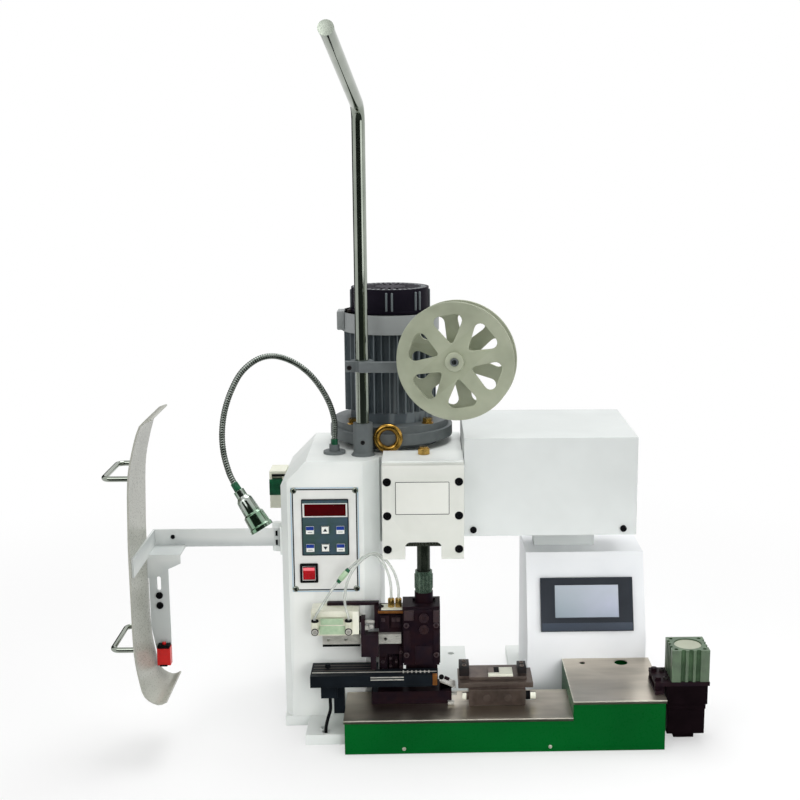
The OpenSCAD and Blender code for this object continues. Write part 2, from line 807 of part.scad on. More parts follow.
drive_w = 68;
drive_x = [case_w + sheet_t, case_w + sheet_t + drive_w];
drive_y = [20, 80];
drive_plate_z = [92, 98];
servo_inset = 2.5;
servo_flange_x = wider(drive_x, -servo_inset);

module drive_bracket() {
    arm_reach = [13, 2];
    arm_x_span = [case_w - arm_reach[0], case_w + arm_reach[1]];
    arm_t = 5;
    knob_r = 4.5;
    knob_h = 5;
    knob_inset = [6, 12];
    color("dimgray") placed() {
        span([arm_x_span[0], drive_x[1]], drive_y, drive_plate_z);
        for (y = wider(drive_y, -knob_inset[1]))
            rod_z(knob_r, [drive_plate_z[1] - over, drive_plate_z[1] + knob_h], [arm_x_span[0] + knob_inset[0], y]);
        // Two arms on the raised cover, and their foot on it
        for (y = [drive_y[0] + 4, drive_y[1] - 4 - arm_t])
            span(arm_x_span, [y, y + arm_t], [raised_h, drive_plate_z[0] + over]);
        span([arm_x_span[0], case_w], [drive_y[0], drive_y[1]], [raised_h, raised_h + arm_t]);
    }
}

module drive_cylinder() {
    size = 57;
    tall = 50;
    flute_r = 3.5;
    tie_r = 3;
    tie_inset = 7;
    top_recess = [21, 2];
    x0 = drive_x[1] - size - 1;
    y0 = drive_y[0] + 1;
    color("silver") placed() translate([x0, y0, drive_plate_z[1]]) difference() {
        cube([size, size, tall]);
        for (i = [0.3, 0.5, 0.7]) {
            translate([size * i, 0, -over]) cylinder(r = flute_r, h = tall + 2 * over);
            translate([0, size * i, -over]) cylinder(r = flute_r, h = tall + 2 * over);
            translate([size, size * i, -over]) cylinder(r = flute_r, h = tall + 2 * over);
        }
        for (x = [tie_inset, size - tie_inset], y = [tie_inset, size - tie_inset])
            translate([x, y, tall - 4 * tie_r]) cylinder(r = tie_r, h = 4 * tie_r + over);
        translate([size / 2, size / 2, tall - top_recess[1]]) cylinder(r = top_recess[0],
            h = top_recess[1] + over);
    }
}

module servo_motor() {
    flange_z = [62, drive_plate_z[0]];
    ring_z = [54, 62];
    body_z_span = [14, 54];
    plug_z = [2, 14];
    y = [drive_y[0] + 1, drive_y[1] - 3];
    ring_in = 2;
    body_in = 3;
    plug_in = 16;
    color("black") placed() {
        span(servo_flange_x, y, flange_z);
        span(wider(servo_flange_x, -ring_in), wider(y, -ring_in), ring_z);
        span(wider(servo_flange_x, -body_in), wider(y, -body_in), body_z_span);
        span(wider(servo_flange_x, -plug_in), wider(y, -plug_in), plug_z);
    }
}

// Heights of the motor's stages, from the body's top up
spacer_h = 10.5;
flange_t = 11;
neck_h = 17;
adapter_z = [body_top + spacer_h, body_top + spacer_h + adapter_t];
flange_z = [adapter_z[1], adapter_z[1] + flange_t];
neck_z = [flange_z[1], flange_z[1] + neck_h];
fin_z = [neck_z[1], neck_z[1] + fin_l];
ring_z = [fin_z[1], fin_z[1] + ring_h];
cowl_z = [ring_z[1], ring_z[1] + cowl_h];
shaft_r = 12;
stator_bore_r = 38;

module motor_body() {
    fins = 36;
    fin_t = 2;
    core_r = fin_d / 2 - 9;
    pad = [12, 60];
    color("slategray") placed() translate([motor_x, motor_y, 0]) difference() {
        union() {
            rod_z(fin_d / 2 - 7, [flange_z[1], neck_z[1]], [0, 0]);
            rod_z(core_r, fin_z, [0, 0]);
            for (i = [0:fins - 1]) rotate([0, 0, 360 * i / fins])
                span([core_r - over, fin_d / 2], [-fin_t / 2, fin_t / 2], fin_z);
            span([-fin_d / 2, -core_r + pad[0]], [-pad[1] / 2, pad[1] / 2], fin_z);
            rod_z(ring_d / 2, ring_z, [0, 0]);
        }
        rod_z(shaft_r + run_gap, [flange_z[1] - over, ring_z[1] + over], [0, 0]);
        rod_z(stator_bore_r, [fin_z[0], fin_z[1]], [0, 0]);
    }
}

module fan_cowl() {
    wall = 1.5;
    slots = 20;
    slot_w = 4;
    slot_r = [24, 50];
    rim = 4;
    color("black") placed() translate([motor_x, motor_y, 0]) difference() {
        union() {
            rod_z(cowl_d / 2, cowl_z, [0, 0]);
            rod_z(cowl_d / 2 + rim, [cowl_z[0], cowl_z[0] + rim], [0, 0]);
        }
        rod_z(cowl_d / 2 - wall, [cowl_z[0] - over, cowl_z[1] - wall], [0, 0]);
        for (i = [0:slots - 1]) rotate([0, 0, 360 * i / slots])
            span(slot_r, [-slot_w / 2, slot_w / 2], [cowl_z[1] - wall - over, cowl_z[1] + over]);
    }
}

bolt_circle = 165;
bolt_r = 4.5;

module motor_flange() {
    spacer_d = 150;
    flange_edge = 6;
    color("gray") placed() translate([motor_x, motor_y, 0]) difference() {
        union() {
            rod_z(spacer_d / 2, [body_top, adapter_z[0]], [0, 0]);
            rod_z(adapter_d / 2, adapter_z, [0, 0]);
            rod_z(adapter_d / 2 - flange_edge, flange_z, [0, 0]);
        }
        rod_z(motor_bore_d / 2 - 8, [body_top - over, adapter_z[1]], [0, 0]);
        rod_z(shaft_r + run_gap, [adapter_z[1] - over, flange_z[1] + over], [0, 0]);
        for (a = [45:90:315]) rotate([0, 0, a])
            rod_z(bolt_r, [adapter_z[0] - over, flange_z[1] + over], [bolt_circle / 2, 0]);
    }
}

module flange_bolts() {
    hex_r = 8;
    hex_h = 7;
    washer = [9.5, 1.5];
    color("gold") placed() translate([motor_x, motor_y, 0]) for (a = [45:90:315]) rotate([0, 0, a])
        translate([bolt_circle / 2, 0, 0]) {
            rod_z(bolt_r - run_gap, [adapter_z[0], flange_z[1]], [0, 0]);
            rod_z(washer[0], [flange_z[1], flange_z[1] + washer[1]], [0, 0]);
            translate([0, 0, flange_z[1]]) cylinder(r = hex_r, h = hex_h + washer[1], $fn = 6);
        }
}

lamp_at = [-18, 161];
lamp_foot_r = 17;
lamp_foot_h = 4;
lamp_hub_r = 8;
lamp_hub_h = 14;
ferrule_r = 5.5;

module post_sockets() {
    flare_r = 18.5;
    flare_h = 5;
    floor_t = 4;
    set_screw_r = 3.5;
    color("silver") placed() {
        difference() {
            union() {
                translate([pole_at[0], pole_at[1], body_top]) cylinder(r1 = flare_r, r2 = socket_r,
                    h = flare_h);
                rod_z(socket_r, [body_top, body_top + socket_h], pole_at);
            }
            rod_z(pole_d / 2 + run_gap, [body_top + floor_t, body_top + socket_h + over], pole_at);
            rod_y(set_screw_r, [pole_at[1] - socket_r - over, pole_at[1] - pole_d / 2],
                [pole_at[0], body_top + 22]);
        }
        difference() {
            union() {
                rod_z(lamp_foot_r, [body_top, body_top + lamp_foot_h], lamp_at);
                rod_z(lamp_hub_r, [body_top, body_top + lamp_hub_h], lamp_at);
            }
            rod_z(ferrule_r + run_gap, [body_top + 2, body_top + lamp_hub_h + over], lamp_at);
        }
    }
}

pole_rise = 17;
pole_turn = -5;
pole_bend_r = 30;
pole_bottom_z = body_top + 4;

module guide_pole() {
    turn = 90 - pole_rise;
    set_back = pole_bend_r * tan(turn / 2);
    straight = pole_reach - set_back;
    cap = [pole_d / 2 + 0.6, 5];
    color("gainsboro") placed() translate([pole_at[0], pole_at[1], 0]) rotate([0, 0, pole_turn]) {
        rod_z(pole_d / 2, [pole_bottom_z, pole_bend_z - set_back], [0, 0]);
        // The bend turns from upright to the forward slope
        translate([0, -pole_bend_r, pole_bend_z - set_back]) rotate([90, 0, 90])
            bend(pole_d / 2, pole_bend_r, turn);
        translate([0, -pole_bend_r, pole_bend_z - set_back]) rotate([turn, 0, 0])
            translate([0, pole_bend_r, 0]) {
                cylinder(r = pole_d / 2, h = straight);
                translate([0, 0, straight]) cylinder(r = cap[0], h = cap[1]);
            }
    }
}

key_t = 2;
stem_r = 2;
stem_l = 5;
panel_t = 2.5;
pad_t = 1;
panel_y = [body_front - panel_t, body_front];
pad_x = [panel_x[0] + 17, panel_x[0] + 87];
pad_z = [panel_z[0] + 59, panel_z[0] + 146];
key_x = [pad_x[0] + 12, middle(pad_x), pad_x[1] - 12];
key_z = [pad_z[0] + 12, pad_z[0] + 40];
rocker_x = [panel_x[0] + 13, panel_x[0] + 39];
rocker_z = [panel_z[0] + 16, panel_z[0] + 45];
rocker_frame = 3.5;
rocker_frame_t = 2;
pin_r = 1.5;

module panel_plate() {
    display_x = wider(pad_x, -3.5);
    display_drop = [26, 7];
    display_z = [pad_z[1] - display_drop[0], pad_z[1] - display_drop[1]];
    display_sunk = 0.6;
    body_back = [body_front, body_front + 22];
    color("lightgray") placed() difference() {
        union() {
            span(panel_x, panel_y, panel_z);
            span(pad_x, [panel_y[0] - pad_t, panel_y[0] + over], pad_z);
            span(rocker_x, [panel_y[0] - rocker_frame_t, panel_y[0] + over], rocker_z);
            span(wider(rocker_x, -1), [panel_y[0], body_back[1]], wider(rocker_z, -1));
        }
        span(display_x, [panel_y[0] - pad_t - over, panel_y[0] - pad_t + display_sunk], display_z);
        for (x = key_x, z = key_z)
            rod_y(stem_r + run_gap, [panel_y[0] - pad_t - over, panel_y[1] + over], [x, z]);
        span(wider(rocker_x, -rocker_frame), [panel_y[0] - rocker_frame_t - over, body_back[1] - 3],
             wider(rocker_z, -rocker_frame));
        rod_x(pin_r + run_gap, wider(rocker_x, -rocker_frame / 2), [panel_y[0] + 3, middle(rocker_z)]);
    }
}

module connector_box() {
    x = [body_left - 26, body_left];
    y = [196, 240];
    z = [326, 386];
    slot_z = [372, 380];
    color("dimgray") placed() difference() {
        span(x, y, z);
        span([x[0] + 4, x[1] - 6], [y[0] - over, y[0] + 8], slot_z);
    }
}

hinge_pin_r = 4;
knuckle_r = 7;
leaf_t = 3;
hinge_at = [body_left - leaf_t - knuckle_r - slide_gap, 146];
guard_z = [281, 309];
guard_bar_y = [hinge_at[1] - knuckle_r + 1.5, hinge_at[1] - knuckle_r + 1.5 + leaf_t];
hinge_lug_h = 8;

module guard_hinge() {
    leaf_y = [120, 176];
    pin_z = [guard_z[0] - hinge_lug_h - slide_gap, guard_z[1] + hinge_lug_h + slide_gap];
    color("silver") placed() {
        span([body_left - leaf_t, body_left], leaf_y, pin_z);
        for (z = [pin_z[0], pin_z[1] - hinge_lug_h]) {
            rod_z(knuckle_r, [z, z + hinge_lug_h], hinge_at);
            span([hinge_at[0], body_left - leaf_t + over], [hinge_at[1] - knuckle_r, hinge_at[1]],
                 [z, z + hinge_lug_h]);
        }
        rod_z(hinge_pin_r, pin_z, hinge_at);
    }
}

module crank_bearings() {
    color("silver") placed() for (y = [arm_y[0], arm_y[1] - bearing_w]) difference() {
        rod_y(bearing_d / 2, [y, y + bearing_w], [crimp_x, crank_z]);
        rod_y(journal_d / 2 + run_gap, wider([y, y + bearing_w], over), [crimp_x, crank_z]);
    }
}

module circuit_boards() {
    board_t = 1.6;
    stand_r = 3;
    stand_l = 6;
    part_h = 12;
    panel_board = [wider(panel_x, -panel_inset - 2), body_front + 26, [panel_z[0] + 52, panel_z[1] - 12]];
    box_board = [[box_x[0] + 30, box_x[1] - 30], [box_y[0] + 30, box_y[1] - 30],
        box_z[0] + sheet_t + stand_l];
    console_board = [[console_x[0] + 24, console_x[1] - 24], [console_top_y + 8, console_y[1] - 24],
        base_t + sheet_t + stand_l];
    color("seagreen") placed() {
        span(panel_board[0], [panel_board[1], panel_board[1] + board_t], panel_board[2]);
        for (x = wider(panel_board[0], -stand_r - 2), z = wider(panel_board[2], -stand_r - 2))
            rod_y(stand_r, [body_front, panel_board[1]], [x, z]);
        for (b = [box_board, console_board]) {
            span(b[0], b[1], [b[2], b[2] + board_t]);
            for (x = wider(b[0], -stand_r - 2), y = wider(b[1], -stand_r - 2))
                rod_z(stand_r, [b[2] - stand_l, b[2]], [x, y]);
            for (i = [1:3])
                span([b[0][0] + i * (b[0][1] - b[0][0]) / 5, b[0][0] + (i + 0.6) * (b[0][1] - b[0][0]) / 5],
                     wider(b[1], -(b[1][1] - b[1][0]) / 4), [b[2] + board_t - over, b[2] + part_h]);
        }
    }
}

// Ram, with the crank pin at its top
crank_r = stroke / 2;
pin_z = crank_z + crank_r;
yoke_depth = 30;
shank_r = 10;
collar_sunk = 4;
collar_h = 19;
adapter_h = 33;
collar_z = [app_z[1] - collar_sunk, app_z[1] - collar_sunk + collar_h];
adapter_z_span = [collar_z[1], collar_z[1] + adapter_h];

module ram_slide() {
    // The straight-line drive departs from the true crank motion by under a ninth of the stroke
    yoke_room_share = 0.12;
    yoke_half = [crank_r + crank_pin_d / 2 + slide_gap, crank_pin_d / 2 + stroke * yoke_room_share];
    shank_y = crimp_y;
    color("dimgray") placed() {
        difference() {
            span(slide_x, slide_y, slide_z);
            span([crimp_x - yoke_half[0], crimp_x + yoke_half[0]],
                [slide_y[1] - yoke_depth, slide_y[1] + over],
                 [pin_z - yoke_half[1], pin_z + yoke_half[1]]);
        }
        rod_z(shank_r, [adapter_z_span[1] - over, slide_z[0] + over], [crimp_x, shank_y]);
    }
}

module ram_adapter() {
    ribs = 16;
    cap_h = 5;
    color("dimgray") placed() translate([crimp_x, crimp_y, 0]) difference() {
        union() {
            rod_z(adapter_r, adapter_z_span, [0, 0]);
            for (i = [0:ribs - 1]) rotate([0, 0, 360 * i / ribs])
                rod_z(adapter_rib_r, wider(adapter_z_span, -cap_h), [adapter_r, 0]);
        }
        rod_z(shank_r + run_gap, [adapter_z_span[1] - over, adapter_z_span[1] + over], [0, 0]);
    }
}

module applicator_ram() {
    ram_x = [crimp_x - app_ram_w / 2, crimp_x + app_ram_w / 2];
    ram_z = [150, collar_z[0]];
    punch_z = [anvil_top_z + stroke + 2, ram_z[0]];
    color("darkred") placed() {
        span(ram_x, app_ram_y, [ram_z[0], ram_z[1] + over]);
        rod_z(collar_r, collar_z, [crimp_x, crimp_y]);
    }
    color("silver") placed()
        span([crimp_x - punch_w / 2, crimp_x + punch_w / 2], [crimp_y - 4, crimp_y + 4],
             [punch_z[0], punch_z[1] + over]);
}

crank_web_y = [slide_y[1] + slide_gap, arm_y[0] - slide_gap];
wheel_y = [motor_y - 15, motor_y + 15];
worm_wheel_r = crimp_x - motor_x - 15.5;
worm_r = 15;

module crankshaft() {
    pin_l = yoke_depth - 4;
    collar = [journal_d / 2 + 6, 4];
    color("silver") placed() {
        rod_y(web_r, crank_web_y, [crimp_x, crank_z]);
        rod_y(crank_pin_d / 2, [crank_web_y[0] - pin_l, crank_web_y[0] + over], [crimp_x, pin_z]);
        rod_y(journal_d / 2, [crank_web_y[1] - over, arm_y[1]], [crimp_x, crank_z]);
        rod_y(collar[0], [arm_y[0] + bearing_w + slide_gap, arm_y[0] + bearing_w + slide_gap + collar[1]],
              [crimp_x, crank_z]);
    }
}

module worm_wheel() {
    teeth = 30;
    tooth_depth = 4;
    tooth_r = 1.6;
    hub_r = 28;
    color("goldenrod") placed() translate([crimp_x, 0, crank_z]) difference() {
        union() {
            rod_y(worm_wheel_r, wider(wheel_y, -5), [0, 0]);
            rod_y(hub_r, wheel_y, [0, 0]);
        }
        rod_y(journal_d / 2 + run_gap, wider(wheel_y, over), [0, 0]);
        for (i = [0:teeth - 1]) rotate([0, 360 * (i + 0.5) / teeth, 0])
            rod_y(tooth_r, wider(wheel_y, over), [worm_wheel_r, 0]);
    }
}

module motor_rotor() {
    worm_z = [crank_z - 26, crank_z + 26];
    core_r = stator_bore_r - 0.6;
    fan_r = cowl_d / 2 - 8;
    fan_z = [cowl_z[0] + 4, cowl_z[0] + 20];
    fan_hub_r = 18;
    blades = 7;
    blade_t = 2.5;
    threads = 7;
    groove = 1.6;
    color("silver") placed() translate([motor_x, motor_y, 0]) {
        rod_z(shaft_r, [worm_z[0] - 8, fan_z[1]], [0, 0]);
        difference() {
            rod_z(worm_r, worm_z, [0, 0]);
            for (i = [1:threads]) translate([0, 0, worm_z[0] + i * (worm_z[1] - worm_z[0]) / (threads + 1)])
                rotate_extrude() translate([worm_r, 0]) circle(r = groove, $fn = 16);
        }
        rod_z(core_r, wider(fin_z, -8), [0, 0]);
    }
    color("black") placed() translate([motor_x, motor_y, 0]) {
        rod_z(fan_hub_r, fan_z, [0, 0]);
        for (i = [0:blades - 1]) rotate([0, 0, 360 * i / blades])
            span([fan_hub_r - over, fan_r], [-blade_t / 2, blade_t / 2], fan_z);
    }
}

// Reel arm and wheel; the wheel's axis is turned a little about the vertical
reel_bar_z = [554, 570];
reel_bar_y = [pole_at[1] - pole_d / 2 - 12, pole_at[1] - pole_d / 2 - 2];
wheel_at = [169, 70, 582];
wheel_yaw = -11.5;
axle_r = 6;
hub_r = 14;
hub_out = 8;

module reel_arm() {
    clamp_r = pole_d / 2 + 7;
    end_x = [158, 190];
    axle_y = [-wheel_w / 2 - hub_out, 62];
    axle_hole = [3.75, 10];
    color("lightgray") placed() {
        difference() {
            union() {
                rod_z(clamp_r, reel_bar_z, pole_at);
                span([pole_at[0] - clamp_r - 8, pole_at[0]], [pole_at[1] - 14, pole_at[1] - 2], reel_bar_z);
                span([pole_at[0] - 4, end_x[1]], reel_bar_y, reel_bar_z);
            }
            rod_z(pole_d / 2 + run_gap, wider(reel_bar_z, over), pole_at);
        }
        // End plate that lifts the axle above the bar
        span(end_x, reel_bar_y, [reel_bar_z[0], wheel_at[2] + 12]);
        translate(wheel_at) rotate([0, 0, wheel_yaw]) difference() {
            rod_y(axle_r, axle_y, [0, 0]);
            rod_y(axle_hole[0], [axle_y[0] - over, axle_y[0] + axle_hole[1]], [0, 0]);
        }
    }
}

// Window of the wheel: its outline goes round one small circle near the hub and two near the rim
module petal(r) {
    inner_share = 0.36;
    inner_r_share = 0.045;
    outer_share = 0.69;
    outer_r_share = 0.105;
    half_angle = 11.5;
    steps = 5;
    inner = [inner_share, 0];
    up = outer_share * [cos(half_angle), sin(half_angle)];
    down = outer_share * [cos(half_angle), -sin(half_angle)];
    d = up - inner;
    turn = atan2(d[1], d[0]) + acos((inner_r_share - outer_r_share) / norm(d));
    polygon(r * concat(
        [for (i = [0:steps]) up + outer_r_share * [cos(turn * i / steps), sin(turn * i / steps)]],
        [for (i = [0:steps]) let (a = turn + (360 - 2 * turn) * i / steps)
            inner + inner_r_share * [cos(a), sin(a)]],
        [for (i = [0:steps]) let (a = turn * i / steps - turn) down + outer_r_share * [cos(a), sin(a)]]));
}

module guide_wheel() {
    petals = 6;
    first_petal = 40.5;
    core_r = 24;
    bore_clear = [-wheel_w / 2 - hub_out - over, wheel_w / 2 + 3];
    color("gainsboro") placed() translate(wheel_at) rotate([0, 0, wheel_yaw]) difference() {
        union() {
            for (side = [0, 1]) translate([0, side == 0 ? -wheel_w / 2 + disc_t : wheel_w / 2, 0])
                rotate([90, 0, 0]) linear_extrude(disc_t) difference() {
                    circle(r = wheel_d / 2, $fn = 96);
                    for (i = [0:petals - 1])
                        rotate(first_petal + side * 180 / petals + 360 * i / petals) petal(wheel_d / 2);
                }
            rod_y(core_r, [-wheel_w / 2 + disc_t / 2, wheel_w / 2 - disc_t / 2], [0, 0]);
            rod_y(hub_r, [-wheel_w / 2 - hub_out + 2, wheel_w / 2 + 2], [0, 0]);
        }
        rod_y(axle_r + run_gap, bore_clear, [0, 0]);
    }
}

// Gooseneck route, points chosen by hand about a step apart
neck_route = [[-18, 161, 425], [-18, 161, 440], [-17, 161, 470], [-23, 159, 498], [-36, 154, 526],
    [-55, 147, 552],
    [-78, 136, 571], [-103, 123, 581], [-126, 109, 578], [-147, 94, 562], [-161, 79, 537], [-170, 67, 508],
    [-173, 56, 478], [-170, 46, 450], [-162, 36, 425], [-154, 28, 411], [-147, 22, 401]];
lamp_top = [-147, 22, 401];
lamp_aim = [33, -12, -52];

// Turns the Z axis to a direction
module aimed(v) {
    rotate([0, acos(v[2] / norm(v)), atan2(v[1], v[0])]) children();
}

module lamp_neck() {
    ribs_each = 8;
    path = smooth(neck_route, 2 * ribs_each);
    groove_share = 0.86;
    plain = 6;
    color("silver") placed() {
        tube([for (i = [plain:len(path) - 1]) path[i]],
            [for (i = [plain:len(path) - 1]) neck_d / 2 * ((i % 4) < 2 ? 1 : groove_share)], 8);
        rod_z(ferrule_r, [body_top + 2 + slide_gap, body_top + lamp_hub_h + 8], lamp_at);
    }
}

module lamp_head() {
    r = lamp_d / 2;
    neck_r = 8;
    bore = [r - 3, 8];
    seat = [neck_d / 2 + 0.6, 0.9];
    color("gainsboro") placed() translate(lamp_top) aimed(lamp_aim) difference() {
        rotate_extrude() polygon([[0, seat[1]], [seat[0], seat[1]], [seat[0], 0], [neck_r, 0],
            [neck_r, lamp_l * 0.16], [r * 0.66, lamp_l * 0.24],
            [r * 0.72, lamp_l * 0.58], [r * 0.86, lamp_l * 0.62], [r * 0.92, lamp_l * 0.9],
                [r, lamp_l * 0.92],
            [r, lamp_l], [0, lamp_l]]);
        translate([0, 0, lamp_l - bore[1]]) cylinder(r = bore[0], h = bore[1] + over);
    }
}

rocker_tilt = 9;

module power_rocker() {
    gap = 0.5;
    x = wider(rocker_x, -rocker_frame - gap);
    half = (rocker_z[1] - rocker_z[0]) / 2 - rocker_frame - 1.2;
    depth = 8;
    face_out = 5;
    color("red") placed() translate([0, panel_y[0] + 3, middle(rocker_z)]) rotate([rocker_tilt, 0, 0]) {
        along_x(x) polygon([[-face_out, -half], [-face_out + 2, 0], [-face_out, half],
            [depth - 4, half * 0.7],
            [depth, 0], [depth - 4, -half * 0.7]]);
        rod_x(pin_r, wider(rocker_x, -rocker_frame / 2 - gap), [0, 0]);
    }
}

flap_x = [hinge_at[0] - guard_reach, hinge_at[0] - guard_reach + leaf_t];
shield_y = [-15, -15 + shield_w];
flap_front = shield_y[0] + 8;
shield_bracket_y = shield_y[1] - 6;
bracket_z = [124, guard_z[0]];

module guard_arm() {
    bracket_x = [flap_x[1] - 1, flap_x[1] + 28];
    bracket_y = [shield_bracket_y, shield_bracket_y + leaf_t];
    gusset_w = 50;
    gusset_h = 34;
    bracket_foot = 8;
    bracket_rise = 46;
    slot_r = 3;
    slot_x = middle(bracket_x);
    slot_z = [231, 247];
    color("white") placed() {
        difference() {
            union() {
                rod_z(knuckle_r, guard_z, hinge_at);
                span([flap_x[0], hinge_at[0]], guard_bar_y, guard_z);
            }
            rod_z(hinge_pin_r + run_gap, wider(guard_z, over), hinge_at);
        }
        span(flap_x, [flap_front, guard_bar_y[1]], guard_z);
        // Gusset and slotted bracket that hold the shield's lower part
        difference() {
            union() {
                along_y(bracket_y) polygon([[bracket_x[0] + bracket_foot, bracket_z[0]],
                    [bracket_x[1], bracket_z[0]],
                    [bracket_x[1], guard_z[0] + over], [bracket_x[0], guard_z[0] + over],
                    [bracket_x[0], bracket_z[0] + bracket_rise]]);
                along_y(bracket_y) polygon([[flap_x[0], guard_z[0] + over],
                    [flap_x[0] + gusset_w, guard_z[0] + over],
                    [flap_x[0] + gusset_w, guard_z[0] - gusset_h / 3], [flap_x[0], guard_z[0] - gusset_h]]);
            }
            for (z = slot_z) rod_y(slot_r, wider(bracket_y, over), [slot_x, z]);
            span([slot_x - slot_r, slot_x + slot_r], wider(bracket_y, over), slot_z);
        }
        span([flap_x[0], flap_x[0] + gusset_w], [bracket_y[0], guard_bar_y[1]],
             [guard_z[0], guard_z[0] + leaf_t]);
    }
}

// Outer outline of the shield from bottom tip to top tip, as steps outward and up from the flap
shield_points = [[42, 96], [30, 92], [13, 103], [6, 129], [1, 167], [0, 224], [0, 309], [1, 356], [4, 423],
    [11, 462], [24, 503], [40, 512]];

module guard_shield() {
    p = smooth([for (q = shield_points) [flap_x[0] + q[0], 0, q[1]]], 3);
    t = aims(p);
    m = len(p);
    color("gainsboro", 0.8) placed() along_y(shield_y) polygon(concat(
        [for (i = [0:m - 1]) [p[i][0] - shield_t * t[i][2], p[i][2] + shield_t * t[i][0]]],
        [for (i = [m - 1:-1:0]) [p[i][0], p[i][2]]]));
}

handle_z = [172, 427];
handle_y = wider(shield_y, -8);
handle_bend_r = 10;

module guard_handles() {
    root_in = [1.2, 5.5];
    color("silver") placed() for (i = [0, 1]) {
        out = flap_x[0] - handle_reach;
        for (y = handle_y)
            rod_x(handle_d / 2, [out + handle_bend_r, flap_x[0] - shield_t + root_in[i]], [y, handle_z[i]]);
        rod_y(handle_d / 2, wider(handle_y, -handle_bend_r), [out, handle_z[i]]);
        translate([out + handle_bend_r, handle_y[0] + handle_bend_r, handle_z[i]])
            rotate([0, 0, 180]) bend(handle_d / 2, handle_bend_r, 90);
        translate([out + handle_bend_r, handle_y[1] - handle_bend_r, handle_z[i]])
            rotate([0, 0, 90]) bend(handle_d / 2, handle_bend_r, 90);
    }
}

module safety_switch() {
    x = [flap_x[1] + 8.5, flap_x[1] + 28.5];
    y = [shield_bracket_y - 14, shield_bracket_y];
    z = [113, 141];
    plunger_r = 3;
    plunger_l = 7;
    color("red") placed() {
        span(x, y, z);
        rod_z(plunger_r, [z[1], z[1] + plunger_l], [middle(x), middle(y)]);
    }
}

feed_block_x = [24, 50];
feed_block_z = [133, 168];
feed_block_y = [50, rail_y[1] - slide_gap];

module feed_carriage() {
    finger_x = [feed_block_x[1] - 12, feed_block_x[1] - 4];
    finger_gap = 2;
    finger_z = track_z[1] + finger_gap;
    color("black") placed() {
        difference() {
            span([feed_block_x[0], feed_block_x[1] - 16], feed_block_y, feed_block_z);
            span(wider(feed_block_x, over), [rail_y[0] - slide_gap, rail_y[1] + over],
                wider(rail_z, slide_gap));
        }
        span(feed_block_x, [feed_block_y[0], rail_y[0] - slide_gap], feed_block_z);
        // Finger that pushes the terminal strip
        span(finger_x, [feed_block_y[0], feed_block_y[0] + 6], [finger_z, feed_block_z[0] + over]);
    }
    color("silver") placed() {
        rod_x(feed_rod_r, [cyl_x[1] - feed_travel - feed_rod_hold, feed_block_x[0] + over], cyl_axis);
        span([feed_block_x[0], feed_block_x[0] + 6], [feed_block_y[0] + 2, cyl_axis[0] + feed_rod_r],
             [feed_block_z[1] - over, cyl_axis[1] + feed_rod_r]);
    }
}

car_y = [45, 110];
car_low_x = [186, 272];
car_low_z = [tray_h + slide_gap, tray_h + 26];
car_mid_z = [car_low_z[1], car_low_z[1] + 8];
car_top_z = [car_mid_z[1], car_mid_z[1] + 5];
jaw_pin_r = 2.5;
jaw_pin_x = [205, 262];
jaw_y = [62, 109];

module clamp_carriage() {
    front_screw_r = 5.5;
    front_screw_l = 2;
    roller_r = 6;
    color("dimgray") placed() {
        difference() {
            union() {
                span(car_low_x, car_y, car_low_z);
                span([car_x[0], car_x[1] - 4], [car_y[0] + 7, car_y[1]], car_mid_z);
            }
            for (x = jaw_pin_x) rod_z(jaw_pin_r + run_gap, [car_low_z[0] + 6, car_mid_z[1] + over],
                [x, middle(jaw_y)]);
        }
        for (x = [middle(car_low_x) - 16, middle(car_low_x) + 16])
            rod_y(front_screw_r, [car_y[0] - front_screw_l, car_y[0]], [x, middle(car_low_z)]);
        // Foot through the tray to the screw, and the saddle on the rails
        difference() {
            union() {
                span(car_foot_x, [guide_y[0] + guide_w / 2 + 2 * slide_gap,
                    guide_y[1] - guide_w / 2 - 2 * slide_gap],
                     [guide_z[0] - 4, car_low_z[0] + over]);
                span(car_foot_x, car_foot_y, [guide_z[1] + slide_gap, guide_z[1] + 5]);
            }
            rod_x(screw_d / 2 + run_gap, wider(car_foot_x, over), lead_screw_at);
        }
        // Wire rollers at the two ends
        rod_x(roller_r, [car_low_x[1], car_x[1]], [car_y[0] + 9, middle(car_low_z)]);
        rod_x(roller_r, [car_x[0] + 6, car_low_x[0]], [car_y[0] + 9, middle(car_low_z)]);
    }
}

module clamp_jaw() {
    plate_x = [car_low_x[0] + 1, car_low_x[1] + 3];
    left_block = [[car_x[0] + 2, car_low_x[0] + 1], [66, 100], 14];
    right_block = [[262, 275], [72, 100], 10];
    insert = [[216, 254], [64, 92], 3];
    slot = [226, 233];
    z = car_top_z + [slide_gap, slide_gap];
    pin_l = 12;
    color("dimgray") placed() {
        difference() {
            union() {
                span(plate_x, jaw_y, z);
                span(insert[0], insert[1], [z[0], z[1] + insert[2]]);
            }
            span(slot, [insert[1][0] - over, insert[1][1]], [z[0] - over, z[1] + insert[2] + over]);
        }
        span(left_block[0], left_block[1], [z[0], z[1] + left_block[2]]);
        span(right_block[0], right_block[1], [z[0], z[1] + right_block[2]]);
        for (x = jaw_pin_x) rod_z(jaw_pin_r, [z[0] - pin_l, z[0] + over], [x, middle(jaw_y)]);
    }
}

module lead_screw() {
    thread_r = screw_d / 2;
    head = [9, 5];
    color("silver") placed() {
        rod_x(thread_r, [guide_x[0], guide_x[1] + head[1]], lead_screw_at);
        rod_x(head[0], [guide_x[1] + slide_gap, guide_x[1] + head[1]], lead_screw_at);
    }
}

